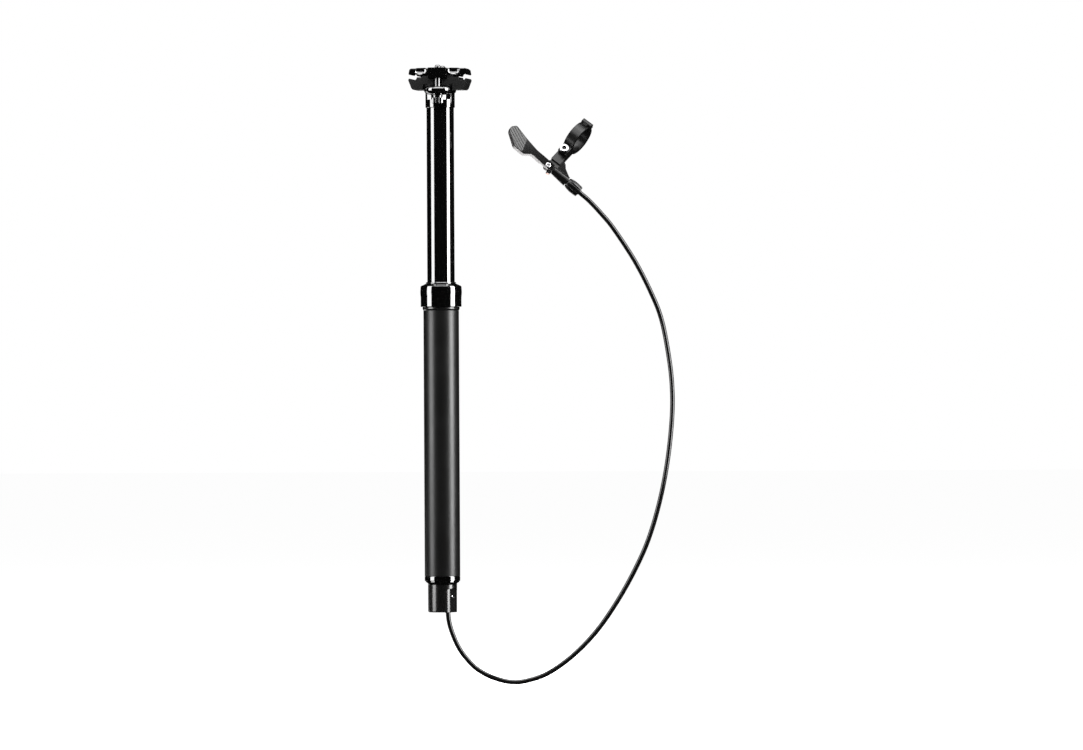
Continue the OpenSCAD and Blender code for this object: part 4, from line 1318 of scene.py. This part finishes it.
@dataclass
class Studio:
    """Camera, lights, floor and background, all turned with the hanging parts' plane."""

    camera_at: Point = (0.0891, -9.0, -0.0561)
    lens_mm: float = 335.8
    roll_deg: float = 0.29
    floor_z: float = -0.3345
    floor_size: float = 40.0
    floor_shade: float = 0.8
    floor_glow: float = 0.74
    floor_rough: float = 0.9
    strip_far: float = 1.2
    strip_turn_deg: float = 70.0
    strip_sizes: tuple[Pair, Pair] = ((0.6, 2.0), (0.54, 2.0))
    strip_z: float = 0.7
    strip_watts: Pair = (32.0, 56.0)
    top_at: Point = (0.05, 0.0, 1.5)
    top_size: Pair = (1.2, 1.1)
    top_watts: float = 24.0
    near_at: Point = (0.0, -0.3, 0.55)
    near_back: Point = (0.0, -0.3, 0.345)
    near_size: Pair = (0.7, 0.35)
    near_watts: float = 3.8
    ambient: float = 0.3
    tent_r: float = 3.2
    tent_shade: float = 0.004
    card_up: float = 0.002
    gap_x: Pair = (-1.0, 0.3)
    gap_y: Pair = (0.45, 1.05)

    def build(self) -> None:
        """Set up the whole studio."""
        bpy.context.scene.view_settings.view_transform = "Standard"
        self._camera()
        self._lights()
        self._world()
        self._floor()
        self._tent()

    def _camera(self) -> None:
        """Place the camera at the photograph's viewpoint."""
        bpy.ops.object.camera_add(location=HANG @ Vector(self.camera_at))
        camera = bpy.context.object
        camera.rotation_euler = [math.radians(a) for a in (90.0, self.roll_deg, HANG_DEG)]
        camera.data.lens = self.lens_mm
        camera.data.sensor_width = 36.0
        bpy.context.scene.camera = camera

    def _lights(self) -> None:
        """Hang a tall soft box on either side, a wide one overhead and a small one by the head."""
        a, up = math.radians(self.strip_turn_deg), Vector((0.0, 0.0, self.strip_z))
        for side, size, watts in zip((-1.0, 1.0), self.strip_sizes, self.strip_watts):
            place = Vector((side * math.sin(a), -math.cos(a), 0.0)) * self.strip_far
            self._soft_box("strip_box", place + up, place, size, watts)
        for name, at, back, size, watts in (
                ("top_box", self.top_at, self.top_at, self.top_size, self.top_watts),
                ("near_box", self.near_at, self.near_back, self.near_size, self.near_watts)):
            self._soft_box(name, Vector(at), Vector(back), size, watts)

    @staticmethod
    def _soft_box(name: str, place: Vector, back: Vector, size: Pair, watts: float) -> None:
        """Add one rectangular area lamp that faces the object.

        Args:
            name: Name of the lamp.
            place: Where it hangs, before the turn.
            back: The direction that its back faces, before the turn.
            size: Its width and height in metres.
            watts: Its power.
        """
        at = HANG @ place
        bpy.ops.object.light_add(type="AREA", location=at)
        lamp = bpy.context.object
        lamp.name = name
        lamp.data.shape = "RECTANGLE"
        lamp.data.size, lamp.data.size_y = size
        lamp.data.energy = watts
        lamp.rotation_euler = (HANG @ -back).to_track_quat("-Z", "Y").to_euler()

    def _world(self) -> None:
        """Show a white background to the eye and to reflections, and softer light to the rest."""
        world = bpy.data.worlds.new("white_studio")
        bpy.context.scene.world = world
        world.use_nodes = True
        tree = world.node_tree
        shade = blend_colours(tree, self._seen_directly(tree), grey(self.ambient), grey(1.0))
        fill(tree.nodes["Background"], {"Color": shade})

    @staticmethod
    def _seen_directly(tree: NodeTree) -> Socket:
        """Add nodes that are 1 for camera, glossy and transmission rays.

        Args:
            tree: The nodes of a world or of a stage material.

        Returns:
            The socket with that value.
        """
        path = tree.nodes.new("ShaderNodeLightPath")
        value = path.outputs["Is Camera Ray"]
        for label in ("Is Glossy Ray", "Is Transmission Ray"):
            either = add_node(tree, "Math", {0: value, 1: path.outputs[label]}, operation="MAXIMUM")
            value = either.outputs[0]
        return value

    def _floor(self) -> None:
        """Lay a white floor that keeps the object's shadow."""
        bpy.ops.mesh.primitive_plane_add(size=self.floor_size, location=(0.0, 0.0, self.floor_z))
        floor = named("studio_floor")
        made, shader = self._matt("white_floor", self.floor_shade, self.floor_rough)
        tree = made.node_tree
        glow = blend_colours(tree, self._seen_directly(tree), grey(0.0), grey(self.floor_glow))
        fill(shader, {"Emission Color": glow, "Emission Strength": 1.0})
        floor.data.materials.append(made)

    @staticmethod
    def _matt(name: str, shade: float, rough: float) -> tuple[Material, Node]:
        """Make a grey material without shine.

        Args:
            name: Name of the material.
            shade: Its grey.
            rough: Its roughness.

        Returns:
            The material and its shader.
        """
        made, shader = new_material(name)
        fill(shader, {"Base Color": (*grey(shade), 1.0), "Roughness": rough,
                      "Specular IOR Level": 0.0})
        return made, shader

    def _tent(self) -> None:
        """Put a dark tent round the stage, open over a patch of floor, to keep the gloss black."""
        edge, (x0, x1), (y0, y1) = self.tent_r, self.gap_x, self.gap_y
        bpy.ops.mesh.primitive_uv_sphere_add(segments=120, ring_count=60, radius=edge)
        tent = named("dark_tent")
        with editing(tent):
            bpy.ops.mesh.bisect(plane_co=(0.0, 0.0, self.floor_z), plane_no=(0.0, 0.0, 1.0),
                                clear_inner=True)
        for low, high in (((-edge, -edge), (edge, y0)), ((-edge, y1), (edge, edge)),
                          ((-edge, y0), (x0, y1)), ((x1, y0), (edge, y1))):
            middle = [(a + b) / 2 for a, b in zip(low, high)]
            bpy.ops.mesh.primitive_plane_add(
                size=1.0, location=(*middle, self.floor_z + self.card_up))
            card = named("dark_floor_card")
            card.scale = (high[0] - low[0], high[1] - low[1], 1.0)
            tent.select_set(True)
            bpy.context.view_layer.objects.active = tent
            bpy.ops.object.join()
        settle(tent, HANG)
        made, _ = self._matt("black_tent_cloth", self.tent_shade, 1.0)
        tent.data.materials.append(made)
        tent.visible_camera = False
        tent.visible_shadow = False
        tent.visible_diffuse = False


def dress_cad_nodes(dresser: Dresser) -> None:
    """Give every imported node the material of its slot.

    Args:
        dresser: Gives the materials.
    """
    for row in frame["record"]["subparts"]:
        node = frame["nodes"][row["node"]]
        node.data.materials.clear()
        node.data.materials.append(dresser.material(FINISHES[Slot(row["material_slot"])]))


def main() -> None:
    """Build the studio and every piece in order."""
    logging.basicConfig(level=logging.INFO, format="%(name)s: %(message)s")
    Studio().build()
    dresser = Dresser(NodeGroups())
    dress_cad_nodes(dresser)
    for part in (CableHousing(), OuterPost(), Foot(), SaddleClamp(), PostHead(), ReleaseSpring(),
                 RemoteBody(), BarrelAdjuster(), ThumbLever()):
        part.build(dresser)


if __name__ == "__main__":
    main()
